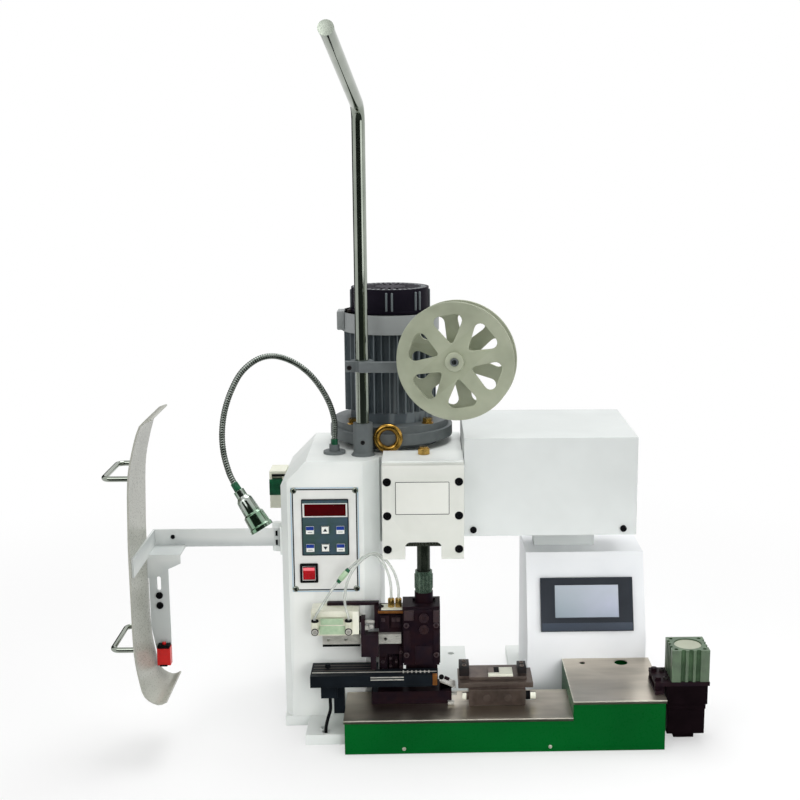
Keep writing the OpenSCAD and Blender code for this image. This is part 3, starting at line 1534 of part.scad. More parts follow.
module key_cap(x, z) {
    y = panel_y[0] - pad_t - key_travel - slide_gap;
    color("white") placed() {
        span([x - key_w / 2, x + key_w / 2], [y - key_t, y], [z - key_w / 2, z + key_w / 2]);
        rod_y(stem_r, [y - over, y + stem_l], [x, z]);
    }
}
module key_up() { key_cap(key_x[1], key_z[1]); }
module key_down() { key_cap(key_x[1], key_z[0]); }
module key_1() { key_cap(key_x[0], key_z[1]); }
module key_2() { key_cap(key_x[2], key_z[1]); }
module key_3() { key_cap(key_x[0], key_z[0]); }
module key_4() { key_cap(key_x[2], key_z[0]); }

base_plate();
body_shell();
rear_covers();
head_block();
head_cover();
cover_screws();
brass_fittings();
eyebolt();
bolster_block();
applicator_base();
applicator_frame();
anvil();
feed_cylinder();
linear_rails();
air_tubes();
terminal_track();
front_case();
top_covers();
control_box();
console_shell();
screen_unit();
drive_bracket();
drive_cylinder();
servo_motor();
motor_body();
fan_cowl();
motor_flange();
flange_bolts();
post_sockets();
guide_pole();
panel_plate();
connector_box();
guard_hinge();
crank_bearings();
circuit_boards();
ram_slide();
ram_adapter();
applicator_ram();
crankshaft();
worm_wheel();
motor_rotor();
reel_arm();
guide_wheel();
lamp_neck();
lamp_head();
power_rocker();
guard_arm();
guard_shield();
guard_handles();
safety_switch();
feed_carriage();
clamp_carriage();
clamp_jaw();
lead_screw();
key_up();
key_down();
key_1();
key_2();
key_3();
key_4();
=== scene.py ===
import bpy
import bmesh
import json
import math
import mathutils
import numpy as np
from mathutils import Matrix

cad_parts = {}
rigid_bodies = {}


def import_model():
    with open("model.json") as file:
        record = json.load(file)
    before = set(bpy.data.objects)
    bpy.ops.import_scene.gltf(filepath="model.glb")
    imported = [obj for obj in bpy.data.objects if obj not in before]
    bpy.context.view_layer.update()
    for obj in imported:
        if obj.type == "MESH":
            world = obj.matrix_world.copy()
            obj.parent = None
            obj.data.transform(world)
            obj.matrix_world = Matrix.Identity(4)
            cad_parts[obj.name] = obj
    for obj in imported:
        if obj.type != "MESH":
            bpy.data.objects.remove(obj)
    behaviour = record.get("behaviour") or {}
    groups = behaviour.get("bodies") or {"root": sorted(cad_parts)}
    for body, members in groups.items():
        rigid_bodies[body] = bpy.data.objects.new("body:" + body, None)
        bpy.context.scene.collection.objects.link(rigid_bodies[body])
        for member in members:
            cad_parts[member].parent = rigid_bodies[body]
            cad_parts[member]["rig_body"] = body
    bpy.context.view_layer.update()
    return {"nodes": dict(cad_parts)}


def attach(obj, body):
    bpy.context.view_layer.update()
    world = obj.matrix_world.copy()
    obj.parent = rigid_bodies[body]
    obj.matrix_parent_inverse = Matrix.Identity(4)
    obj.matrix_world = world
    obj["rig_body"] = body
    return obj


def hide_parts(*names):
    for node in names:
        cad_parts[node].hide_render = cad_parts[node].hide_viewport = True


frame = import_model()
print("frame loaded:", len(frame["nodes"]), "solids")

scene = bpy.context.scene
scene.view_settings.view_transform = "Standard"
# Shapes are set out in millimetres from the green case's front left corner, which stands here in the frame
caseCorner = np.array([65.0, 205.0, 0.0])
toFront, toTop = [0, -1, 0], [0, 0, 1]


def toFrame(points):
    return (np.asarray(points, float) - caseCorner) / 1000


def hexColour(code):
    share = np.array([int(code[i:i + 2], 16) for i in (1, 3, 5)]) / 255
    linear = np.where(share <= 0.04045, share / 12.92, ((share + 0.055) / 1.055) ** 2.4)
    return (*linear.tolist(), 1.0)


def addObject(name, data):
    thing = bpy.data.objects.new(name, data)
    scene.collection.objects.link(thing)
    return thing


# Camera: at the photograph's height and distance, turned 2 degrees to the right and tilted 10.84 down
cameraSet = {"place": (0.0575, -1.9799, 0.8760), "tilt": 90 - 10.84, "turn": -2.0,
             "lens": 57.6, "sensor": 36.0, "shiftX": -0.08625, "farEnd": 30.0}

lensData = bpy.data.cameras.new("benchCamera")
lensData.lens = cameraSet["lens"]
lensData.sensor_width = cameraSet["sensor"]
lensData.shift_x = cameraSet["shiftX"]
lensData.clip_end = cameraSet["farEnd"]
camera = addObject("benchCamera", lensData)
camera.location = cameraSet["place"]
camera.rotation_euler = (math.radians(cameraSet["tilt"]), 0.0, math.radians(cameraSet["turn"]))
scene.camera = camera


def newMaterial(name):
    material = bpy.data.materials.new(name)
    material.use_nodes = True
    return material, material.node_tree.nodes["Principled BSDF"]


def wire(material, node, inputs):
    for socket, source in inputs.items():
        if isinstance(source, bpy.types.NodeSocket):
            material.node_tree.links.new(source, node.inputs[socket])
        else:
            node.inputs[socket].default_value = source


def addNode(material, kind, inputs=None, **settings):
    node = material.node_tree.nodes.new("ShaderNode" + kind)
    for name, value in settings.items():
        setattr(node, name, value)
    wire(material, node, inputs or {})
    return node


def remap(material, value, source=(0.0, 1.0), target=(0.0, 1.0), curve="LINEAR"):
    spans = dict(enumerate((*source, *target), 1))
    return addNode(material, "MapRange", {"Value": value, **spans}, interpolation_type=curve).outputs[0]


def blendTones(material, share, low, high):
    return addNode(material, "Mix", {0: share, 6: low, 7: high}, data_type="RGBA").outputs[2]


def coat(slot, colour, second, grainMm=1.0, grainDeep=0.02, **more):
    return dict(slot=slot, colour=colour, second=second, grainMm=grainMm, grainDeep=grainDeep, **more)


# Every finish: two tones that drift over blotchMm, a grain of grainMm pressed in by grainDeep, and its gloss.
# stretch lengthens the grain along X, Y or Z. edge is the lighter tone put on sharp corners, with its strength:
# partly rubbed wear, partly painted highlight.
finishes = {
    # Powder coat over sheet steel, oven cured: even, slightly pebbled, soft broad highlight
    "powderCoatWhite": coat("white_paint", "#E3E7E4", "#DADFDD", blotchMm=90, rough=0.45, grainMm=1.6,
        specular=0.35, edge=("#F2F3EF", 0.5)),
    # The same coat, darker: painted shade on the control box and the guard's arm
    "shadedPowderCoat": coat("white_paint", "#C5CAC9", "#BABFBE", blotchMm=120, rough=0.45, grainMm=1.6,
        specular=0.3, edge=("#EDEFEC", 0.5)),
    # Older sprayed cover in a warmer white, faintly uneven where it is handled
    "sprayedCoverWhite": coat("white_paint", "#CCCEC7", "#C2C5BD", blotchMm=70, rough=0.5, grainMm=1.6,
        specular=0.3, edge=("#ECECE6", 0.5)),
    # Powder coat in a cooler white for the operator unit
    "powderCoatCool": coat("console_white", "#EFF1F3", "#E7EAED", blotchMm=120, rough=0.4, grainMm=1.4,
        grainDeep=0.015, specular=0.35, edge=("#F8F8F8", 0.5)),
    # Deep green enamel, stoved: saturated, nearly no grain
    "stovedGreenEnamel": coat("case_green", "#005A20", "#004A1A", blotchMm=260, rough=0.3, grainMm=2.4,
        grainDeep=0.012, specular=0.06),
    # Stainless sheet with a long grain brushed along X, drawn coarser than the real 0.1 mm; its light and dark
    # tones, drawn out along X, are painted reflection
    "brushedStainless": coat("cover_steel", "#D6CCBD", "#989084", blotchMm=70, rough=0.34, metal=1.0,
        stretch=(30, 1, 1), edge=("#E6E0D2", 0.7), blotchStretch=(3.5, 1, 1)),
    # Near-cream bright steel along the covers' edges: painted highlight on their hems
    "hemHighlightCream": coat("cover_steel", "#EDE9DC", "#D9D3C3", blotchMm=30, rough=0.3, metal=0.6,
        grainDeep=0.01, stretch=(30, 1, 1)),
    # Hot blackened tool steel, oiled: near black with a red-violet cast and lighter edges, partly rubbed wear,
    # partly painted highlight
    "blackenedSteel": coat("tool_black", "#150E17", "#231316", blotchMm=16, rough=0.42, metal=0.1,
        grainMm=0.9, grainDeep=0.03, specular=0.05, edge=("#4E454C", 0.12)),
    # Blued tool steel, a little lighter than the blackened frames round it
    "bluedSteel": coat("tool_black", "#251C24", "#33211F", blotchMm=10, rough=0.36, metal=0.2, grainMm=0.9,
        grainDeep=0.03, specular=0.1, edge=("#7A6F72", 0.25)),
    # Baked black enamel of the servo motor: very dark, soft gloss
    "bakedBlackEnamel": coat("tool_black", "#0D070A", "#150C10", blotchMm=30, rough=0.4, grainMm=1.2,
        specular=0.03),
    # Ground and hardened steel: fine cross grain, clean bright faces
    "groundSteel": coat("ground_steel", "#C6C5BC", "#A6A59C", blotchMm=14, rough=0.3, metal=0.45, grainMm=0.7,
        stretch=(12, 1, 1), edge=("#F4F2EC", 0.6)),
    # Browned clamp steel, machined: warm dark grey with lighter edges, partly wear, partly painted highlight
    "brownedSteel": coat("dark_steel", "#6E6058", "#4C423D", blotchMm=26, rough=0.42, metal=0.7, grainMm=0.8,
        grainDeep=0.03, stretch=(10, 1, 1), edge=("#A89C92", 0.45)),
    # Darker machined blocks and screws of the clamp
    "soakedDarkSteel": coat("dark_steel", "#1E1718", "#12171A", blotchMm=9, rough=0.42, metal=0.15,
        grainMm=0.8, grainDeep=0.03, specular=0.08, edge=("#6B645E", 0.15)),
    # Painted grey iron castings: coarse sand skin under matt paint
    "paintedCastGrey": coat("cast_grey", "#646A6B", "#53595A", blotchMm=40, rough=0.55, grainMm=1.6,
        grainDeep=0.12, specular=0.35, edge=("#A3A8AA", 0.25)),
    # The same paint, lighter, on the motor's ring
    "lighterRingGrey": coat("cast_grey", "#767A7A", "#6A6E6E", blotchMm=35, rough=0.5, grainMm=1.6,
        grainDeep=0.06, specular=0.3, edge=("#B4B8B8", 0.6)),
    # Painted aluminium die casting of the motor's fins, blue-grey
    "paintedFinGrey": coat("motor_grey", "#4C565B", "#3D464C", blotchMm=30, rough=0.5, grainMm=1.4,
        grainDeep=0.08, specular=0.35, edge=("#8B9396", 0.45)),
    # Moulded black plastic cowl: fine matt texture
    "mouldedBlack": coat("cowl_black", "#15121C", "#1D1923", blotchMm=30, rough=0.5, grainDeep=0.05,
        specular=0.04, edge=("#3E3A48", 0.1)),
    # Turned brass, lacquered: warm bright gold drifting into dark brown, pale gold on its edges as partly wear,
    # partly painted highlight
    "turnedBrass": coat("brass_gold", "#C79E50", "#7E5E22", blotchMm=7, rough=0.24, metal=1.0, grainMm=0.8,
        edge=("#F6DC96", 0.7)),
    # Mirror chrome on tube and lamp: clear reflections with a green-grey tint
    "polishedChrome": coat("chrome", "#9CA298", "#878E84", blotchMm=60, rough=0.08, metal=1.0, grainMm=2.0,
        grainDeep=0.003),
    # The lamp's bell: chrome with a painted green reflection of the enamel below it as its second tone
    "greenReflectionChrome": coat("chrome", "#ACB1AC", "#2A8A4A", blotchMm=60, rough=0.1, metal=1.0, grainMm=2.0,
        grainDeep=0.003),
    # Darker chrome wire of the gooseneck, wound and flexed
    "woundChrome": coat("chrome", "#868C86", "#5A615B", blotchMm=12, rough=0.16, metal=1.0, grainDeep=0.01),
    # Pressure die cast wheel, bead blasted: pale olive grey, soft sheen
    "blastedCastAlloy": coat("wheel_alloy", "#A6AC95", "#8F957F", blotchMm=60, rough=0.48, metal=0.1,
        grainMm=1.2, grainDeep=0.05, specular=0.4, edge=("#E4E5D8", 0.4)),
    # Clear polyurethane hose: water-white wall with a soft gloss
    "clearHose": coat("clear_tube", "#E4E8E2", "#D5DAD4", blotchMm=30, rough=0.12, transmission=0.55,
        grainMm=1.5, grainDeep=0.003),
    # Screen printed polycarbonate film over a steel plate
    "printedFilm": coat("panel_film", "#E2E3E0", "#D9DAD6", blotchMm=50, rough=0.42, grainMm=1.2,
        grainDeep=0.01, specular=0.35),
    # Ink of the border, almost black
    "printedDarkLine": coat("panel_film", "#121B22", "#1D272E", blotchMm=15, rough=0.4, grainMm=1.2,
        grainDeep=0.005, specular=0.3),
    # Pale ink line outside it
    "printedBlueLine": coat("panel_film", "#A9C4D6", "#9DB8CB", blotchMm=15, rough=0.4, grainMm=1.2,
        grainDeep=0.005, specular=0.3),
    # Keypad overlay, printed grey with green and blue areas that run into each other
    "printedKeypad": coat("panel_film", "#3A5850", "#40566C", blotchMm=24, rough=0.4, grainMm=0.9,
        grainDeep=0.01, specular=0.3, edge=("#2A3030", 0.3)),
    # Red filter over the digits, unlit: deep wine with a gloss
    "redFilter": coat("panel_film", "#4C0107", "#3A0206", blotchMm=20, rough=0.14, grainMm=2.0,
        grainDeep=0.002, specular=0.25),
    # Moulded ABS frame of the operator screen, slate grey, fine spark texture
    "mouldedSlate": coat("screen_grey", "#2C3139", "#262B33", blotchMm=50, rough=0.45, grainMm=0.9,
        specular=0.3, edge=("#4A525E", 0.2)),
    # The frame's lower band
    "mouldedSlateLight": coat("screen_grey", "#3F4855", "#394250", blotchMm=50, rough=0.42, grainMm=0.9,
        specular=0.3),
    # Drawn and clear anodised cylinder barrels: grey-green with lines along the draw
    "anodisedBarrel": coat("cylinder_alloy", "#506B4D", "#3B513A", blotchMm=16, rough=0.4, metal=0.3,
        grainMm=0.9, grainDeep=0.03, stretch=(1, 1, 14), edge=("#D3DACB", 0.25)),
    "anodisedCream": coat("cylinder_alloy", "#E2E2CF", "#CFD0BC", blotchMm=18, rough=0.42, metal=0.15,
        grainMm=0.9, stretch=(14, 1, 1), edge=("#F7F7EC", 0.6)),
    "anodisedMint": coat("cylinder_alloy", "#A3BE9C", "#BCD0B2", blotchMm=10, rough=0.38, metal=0.15,
        grainMm=0.9, stretch=(14, 1, 1)),
    # Turned and fluted adapter, phosphated dark green-grey
    "phosphatedSteel": coat("ground_steel", "#6A8271", "#42584A", blotchMm=8, rough=0.28, metal=0.8,
        grainMm=0.8, edge=("#B9CBB9", 0.8)),
    # Hardened and oiled ram, almost black green
    "oiledRamSteel": coat("ground_steel", "#454B42", "#2E342C", blotchMm=14, rough=0.26, metal=0.8,
        grainMm=0.7, stretch=(1, 1, 12), edge=("#8B9084", 0.6)),
    # Milky polycarbonate sheet, bent warm: waxy, slightly see-through, with a painted highlight on its edges
    "bentPolycarbonate": coat("shield_film", "#B0B1A7", "#A2A399", blotchMm=110, rough=0.3, transmission=0.04,
        grainMm=2.6, grainDeep=0.003, specular=0.4, edge=("#DCDBD2", 0.25)),
    # Moulded switch plastics: smooth, slightly glossy
    "mouldedRed": coat("rocker_red", "#C20A18", "#9E0612", blotchMm=14, rough=0.25, grainMm=1.2,
        grainDeep=0.005, specular=0.4),
    # Lens of the lamp in the rocker
    "litPink": coat("rocker_red", "#FF8790", "#FF6E7B", blotchMm=12, rough=0.3, grainMm=1.2, grainDeep=0.004,
        specular=0.4),
    "switchLeverRed": coat("switch_red", "#D50F14", "#B90B10", blotchMm=14, rough=0.32, grainMm=1.2,
        grainDeep=0.01, specular=0.4, edge=("#F0453F", 0.5)),
    # Printed key tops
    "keyWhite": coat("key_white", "#EDEEE9", "#E2E4DE", blotchMm=6, rough=0.35, grainDeep=0.005,
        specular=0.35),
    "keyBlue": coat("key_blue", "#183C9A", "#12307F", blotchMm=6, rough=0.35, grainDeep=0.005, specular=0.3),
    # Glass fibre board with green resist
    "resistGreen": coat("board_green", "#12532F", "#0D4326", blotchMm=10, rough=0.35, grainDeep=0.03),
    # Cast tin bronze, machined: brown-orange metal
    "castBronze": coat("bronze", "#B06A2E", "#8A4C1C", blotchMm=9, rough=0.36, metal=0.8, grainMm=0.9,
        grainDeep=0.03, edge=("#E0A060", 0.6)),
    # Dark plastic lead and rubber parts: matt
    "mattBlackRubber": coat("tool_black", "#0B0C0E", "#131416", blotchMm=10, rough=0.6, grainMm=0.9,
        specular=0.06),
    # Smoked dark green plastic of the connector housing
    "smokedGreenPlastic": coat("board_green", "#0F5A38", "#0A3F2A", blotchMm=12, rough=0.3, grainMm=1.2,
        grainDeep=0.01, specular=0.35),
    # Anodised black-blue rail that the terminal strip runs in
    "anodisedInk": coat("tool_black", "#0D1014", "#13181D", blotchMm=30, rough=0.38, metal=0.05, grainMm=0.8,
        stretch=(14, 1, 1), specular=0.06, edge=("#46525C", 0.1)),
}


# How much of each noise or curvature counts, how far the gloss wanders, and how hard the grain presses
finishSet = {"blotchSpan": (0.32, 0.68), "blotchDetail": (3.0, 0.6), "grainSpan": (0.25, 0.75),
             "grainDetail": (2.0, 0.5), "wornAndHighlitSpan": (0.53, 0.62), "glossStep": 0.06, "glossLeast": 0.03,
             "press": 0.5}


def makeFinish(name, look):
    material, shader = newMaterial(name)
    where = addNode(material, "TexCoord").outputs["Object"]

    def noise(stretch, sizeMm, detail):
        shrink = tuple(1 / np.array(look.get(stretch, (1, 1, 1)), float))
        scaled = addNode(material, "Mapping", {"Vector": where, "Scale": shrink}).outputs[0]
        return addNode(material, "TexNoise", {"Vector": scaled, "Scale": 1000 / sizeMm, "Detail": detail[0],
                                              "Roughness": detail[1]}).outputs[0]

    blotch = noise("blotchStretch", look["blotchMm"], finishSet["blotchDetail"])
    grain = noise("stretch", look["grainMm"], finishSet["grainDetail"])
    paint = blendTones(material, remap(material, blotch, finishSet["blotchSpan"]), hexColour(look["colour"]),
                       hexColour(look["second"]))
    # A lighter tone on convex corners, found from pointiness: partly rubbed wear, partly painted highlight
    if "edge" in look:
        edgeWearAndHighlightTone, edgeWearAndHighlightShare = look["edge"]
        corner = addNode(material, "NewGeometry").outputs["Pointiness"]
        wornAndHighlitEdges = remap(material, corner, finishSet["wornAndHighlitSpan"], (0.0, edgeWearAndHighlightShare))
        paint = blendTones(material, wornAndHighlitEdges, paint, hexColour(edgeWearAndHighlightTone))
    least = max(look["rough"] - finishSet["glossStep"], finishSet["glossLeast"])
    gloss = remap(material, grain, finishSet["grainSpan"], (least, look["rough"] + finishSet["glossStep"]))
    relief = addNode(material, "Bump", {"Height": grain, "Strength": finishSet["press"],
                                        "Distance": look["grainDeep"] / 1000}).outputs[0]
    wire(material, shader, {"Base Color": paint, "Roughness": gloss, "Normal": relief,
                            "Metallic": look.get("metal", 0.0),
                            "Specular IOR Level": look.get("specular", 0.5),
                            "Transmission Weight": look.get("transmission", 0.0)})
    return material


materials = {name: makeFinish(name, look) for name, look in finishes.items()}

# The operator screen's glass: unlit panel with a painted reflection, cooler at the left, violet-white at the
# right and lighter towards the top, under clear gloss
glassSet = {"left": "#8E9DA3", "right": "#B9BCD2", "top": "#C2C8D0", "x": (0.265, 0.365), "z": (0.147, 0.195),
            "reflectionTopShare": 0.6, "haze": {"Scale": 26.0, "Detail": 2.0}, "rightBase": 0.12, "rough": 0.12,
            "specular": 0.3}
screenGlass, glassShader = newMaterial("screenGlassPaintedReflection")
glassPlace = addNode(screenGlass, "TexCoord").outputs["Object"]
haze = addNode(screenGlass, "TexNoise", {"Vector": glassPlace, **glassSet["haze"]}).outputs[0]
glassAxes = addNode(screenGlass, "SeparateXYZ", {0: glassPlace}).outputs
reflectionRightward = remap(screenGlass, glassAxes[0], glassSet["x"])
reflectionUpward = remap(screenGlass, glassAxes[2], glassSet["z"], (0.0, glassSet["reflectionTopShare"]))
reflectionDrift = addNode(screenGlass, "Math", {0: reflectionRightward, 1: haze, 2: glassSet["rightBase"]},
                operation="MULTIPLY_ADD").outputs[0]
lowReflectionTone = blendTones(screenGlass, reflectionDrift, hexColour(glassSet["left"]), hexColour(glassSet["right"]))
glassReflectionTone = blendTones(screenGlass, reflectionUpward, lowReflectionTone, hexColour(glassSet["top"]))
wire(screenGlass, glassShader, {"Base Color": glassReflectionTone, "Roughness": glassSet["rough"],
                                "Specular IOR Level": glassSet["specular"]})
materials["screenGlassPaintedReflection"] = screenGlass
finishes["screenGlassPaintedReflection"] = {"slot": "screen_grey"}
print("finishes made:", len(materials))


def gridFaces(rows, cols, closeRows=False, closeCols=True):
    i, j = np.meshgrid(np.arange(rows if closeRows else rows - 1), np.arange(cols if closeCols else cols - 1),
                       indexing="ij")
    i, j = i.ravel(), j.ravel()
    nextI, nextJ = (i + 1) % rows, (j + 1) % cols
    return np.stack([i * cols + j, i * cols + nextJ, nextI * cols + nextJ, nextI * cols + j], 1)


def endCaps(rows, cols):
    return [np.arange(cols)[::-1], np.arange((rows - 1) * cols, rows * cols)]


def roundBlock(lo, hi, r=0.6, steps=3):
    # point(u, v) = inner box's corner for that octant plus r times (cos v cos u, cos v sin u, sin v)
    lo, hi = np.array(lo, float), np.array(hi, float)
    quarter = np.linspace(0, np.pi / 2, steps)
    u = np.concatenate([quarter + k * np.pi / 2 for k in range(4)])
    v = np.concatenate([quarter - np.pi / 2, quarter])
    sides = (np.repeat([1, -1, -1, 1], steps)[None], np.repeat([1, 1, -1, -1], steps)[None],
             np.repeat([-1, 1], steps)[:, None])
    aims = (np.cos(v)[:, None] * np.cos(u), np.cos(v)[:, None] * np.sin(u), np.sin(v)[:, None] + 0 * u)
    octant = np.stack(np.broadcast_arrays(*sides), -1)
    points = (lo + hi) / 2 + octant * ((hi - lo) / 2 - r) + r * np.stack(aims, -1)
    return points.reshape(-1, 3), gridFaces(len(v), len(u)), endCaps(len(v), len(u))


def crossAxes(axis):
    axis = np.array(axis, float) / np.linalg.norm(axis)
    across = np.cross(axis, [0, 0, 1] if abs(axis[2]) < 0.9 else [1, 0, 0])
    across /= np.linalg.norm(across)
    return axis, across, np.cross(axis, across)


def revolve(profile, centre, axis, sides=28, flutes=0, fluteDeep=0.0):
    # point(k, a) = centre + along_k * axis + radius_k * swell(a) * (cos a, sin a) across the axis,
    # where swell(a) = 1 - fluteDeep * (1 - cos(flutes * a)) / 2
    profile = np.array(profile, float)
    axis, across, up = crossAxes(axis)
    a = np.linspace(0, 2 * np.pi, sides, endpoint=False)
    swell = 1 - fluteDeep * (1 - np.cos(flutes * a)) / 2
    ring = (np.cos(a)[:, None] * across + np.sin(a)[:, None] * up) * swell[:, None]
    points = np.array(centre, float) + profile[:, 0, None, None] * axis + profile[:, 1, None, None] * ring
    return points.reshape(-1, 3), gridFaces(len(profile), sides), endCaps(len(profile), sides)


def socketHead(r, side, top, socket, floorAt, taper=0.2):
    # profile of a screw's head: its side up to the broken edge, its top, and the socket down to its floor
    return [[0, 0], [0, r], [side, r - 0.2], [top, socket], [floorAt, socket - taper], [floorAt, 0]]


def smoothRoute(points, count):
    # a cubic through every point, each stretch bent to its neighbours, then spaced evenly by its length
    p = np.array(points, float)
    p = np.vstack([2 * p[0] - p[1], p, 2 * p[-1] - p[-2]])
    t = np.linspace(0, len(points) - 1, 40 * len(points))
    i = np.minimum(t.astype(int), len(points) - 2)
    f = (t - i)[:, None]
    a, b, c, d = p[i], p[i + 1], p[i + 2], p[i + 3]
    line = 0.5 * (2 * b + (c - a) * f + (2 * a - 5 * b + 4 * c - d) * f ** 2 + (3 * b - a - 3 * c + d) * f ** 3)
    run = np.concatenate([[0], np.cumsum(np.linalg.norm(np.diff(line, axis=0), axis=1))])
    even = np.linspace(0, run[-1], count)
    return np.stack([np.interp(even, run, line[:, k]) for k in range(3)], 1)


def routeLength(route):
    return float(np.linalg.norm(np.diff(route, axis=0), axis=1).sum())


def tubeAlong(route, radii, sides, across):
    # point(i, a) = route_i + radius_i * (cos a * side_i + sin a * up_i); side is heading crossed with across
    heading = np.gradient(route, axis=0)
    heading /= np.linalg.norm(heading, axis=1, keepdims=True)
    side = np.cross(heading, across)
    side /= np.linalg.norm(side, axis=1, keepdims=True)
    up = np.cross(side, heading)
    a = np.linspace(0, 2 * np.pi, sides, endpoint=False)
    radii = np.broadcast_to(np.asarray(radii, float), (len(route),))
    ring = np.cos(a)[None, :, None] * side[:, None] + np.sin(a)[None, :, None] * up[:, None]
    points = route[:, None] + radii[:, None, None] * ring
    return points.reshape(-1, 3), gridFaces(len(route), sides), endCaps(len(route), sides)


def prism(outline, lo, hi, axis=1):
    # the flat outline stands twice, at lo and at hi along the axis
    outline = np.array(outline, float)
    points = np.zeros((2, len(outline), 3))
    points[:, :, [k for k in range(3) if k != axis]] = outline
    points[0, :, axis], points[1, :, axis] = lo, hi
    return points.reshape(-1, 3), gridFaces(2, len(outline)), endCaps(2, len(outline))


def inset(span, by):
    return span[0] + by, span[1] - by


def roundedOutline(x, z, r, steps=5):
    # corner centre plus r times (cos a, sin a), a quarter turn for each corner
    a = (np.linspace(0, np.pi / 2, steps)[None] + np.arange(4)[:, None] * np.pi / 2).ravel()
    midX, midZ = sum(x) / 2, sum(z) / 2
    sideX, sideZ = np.repeat([1, -1, -1, 1], steps), np.repeat([1, 1, -1, -1], steps)
    return np.stack([midX + sideX * (abs(x[1] - x[0]) / 2 - r) + r * np.cos(a),
                     midZ + sideZ * (abs(z[1] - z[0]) / 2 - r) + r * np.sin(a)], 1)


def borderRing(x, z, r, width, y):
    # four loops of the rounded outline: outer front, inner front, inner back, outer back
    outer = roundedOutline(x, z, r)
    inner = roundedOutline(inset(x, width), inset(z, width), max(r - width, 0.2))
    loops = [np.insert(line, 1, depth, axis=1) for line, depth in
             ((outer, y[0]), (inner, y[0]), (inner, y[1]), (outer, y[1]))]
    return np.vstack(loops), gridFaces(4, len(outer), closeRows=True), []


def turned(shape, about, axis, degrees):
    # turns a shape about a point: v cos + (axis x v) sin + axis (axis . v)(1 - cos)
    points, faces, caps = shape
    axis, about = np.array(axis, float) / np.linalg.norm(axis), np.array(about, float)
    v = points - about
    c, s = math.cos(math.radians(degrees)), math.sin(math.radians(degrees))
    v = v * c + np.cross(axis, v) * s + axis * (v @ axis)[:, None] * (1 - c)
    return v + about, faces, caps


# Welding distances in metres, angles in degrees and the steps of a bevel
meshSet = {"pieceWeld": 3e-6, "solidWeld": 1e-6, "solidFlat": 0.6, "solidSharp": 32, "bevelSharp": 32,
           "bevelSteps": 2}


def meshObject(name, points, faces, finish, weld, sharp, flat=0.0):
    mesh = bpy.data.meshes.new(name)
    mesh.from_pydata(points.tolist(), [], faces)
    tidy = bmesh.new()
    tidy.from_mesh(mesh)
    bmesh.ops.remove_doubles(tidy, verts=tidy.verts, dist=weld)
    if flat:
        bmesh.ops.dissolve_limit(tidy, angle_limit=math.radians(flat), verts=tidy.verts, edges=tidy.edges)
    else:
        bmesh.ops.recalc_face_normals(tidy, faces=tidy.faces)
    tidy.to_mesh(mesh)
    tidy.free()
    mesh.shade_smooth()
    mesh.set_sharp_from_angle(angle=math.radians(sharp))
    mesh.materials.append(materials[finish])
    return addObject(name, mesh)


def addBevel(piece, widthMm):
    edge = piece.modifiers.new("softEdge", "BEVEL")
    edge.width = widthMm / 1000
    edge.segments = meshSet["bevelSteps"]
    edge.limit_method = "ANGLE"
    edge.angle_limit = math.radians(meshSet["bevelSharp"])
    edge.harden_normals = True


def makePiece(name, shapes, finish, body="machine", replaces=(), sharp=35, bevel=0.0):
    starts = np.cumsum([0] + [len(points) for points, _, _ in shapes])
    faces = np.vstack([faces + start for (_, faces, _), start in zip(shapes, starts)]).tolist()
    faces += [(cap + start).tolist() for (_, _, caps), start in zip(shapes, starts) for cap in caps]
    points = toFrame(np.vstack([points for points, _, _ in shapes]))
    piece = meshObject(name, points, faces, finish, meshSet["pieceWeld"], sharp)
    if bevel:
        addBevel(piece, bevel)
    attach(piece, body)
    if replaces:
        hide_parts(*replaces)
    return piece


def fit(name, finish, blocks=(), profile=(), places=(), axis=toFront, sides=(), **more):
    # a fitting is its blocks, and its profile revolved at each of its places
    shapes = [roundBlock(*block) for block in blocks]
    shapes += [revolve(profile, place, axis, *sides) for place in places]
    makePiece(name, shapes, finish, **more)


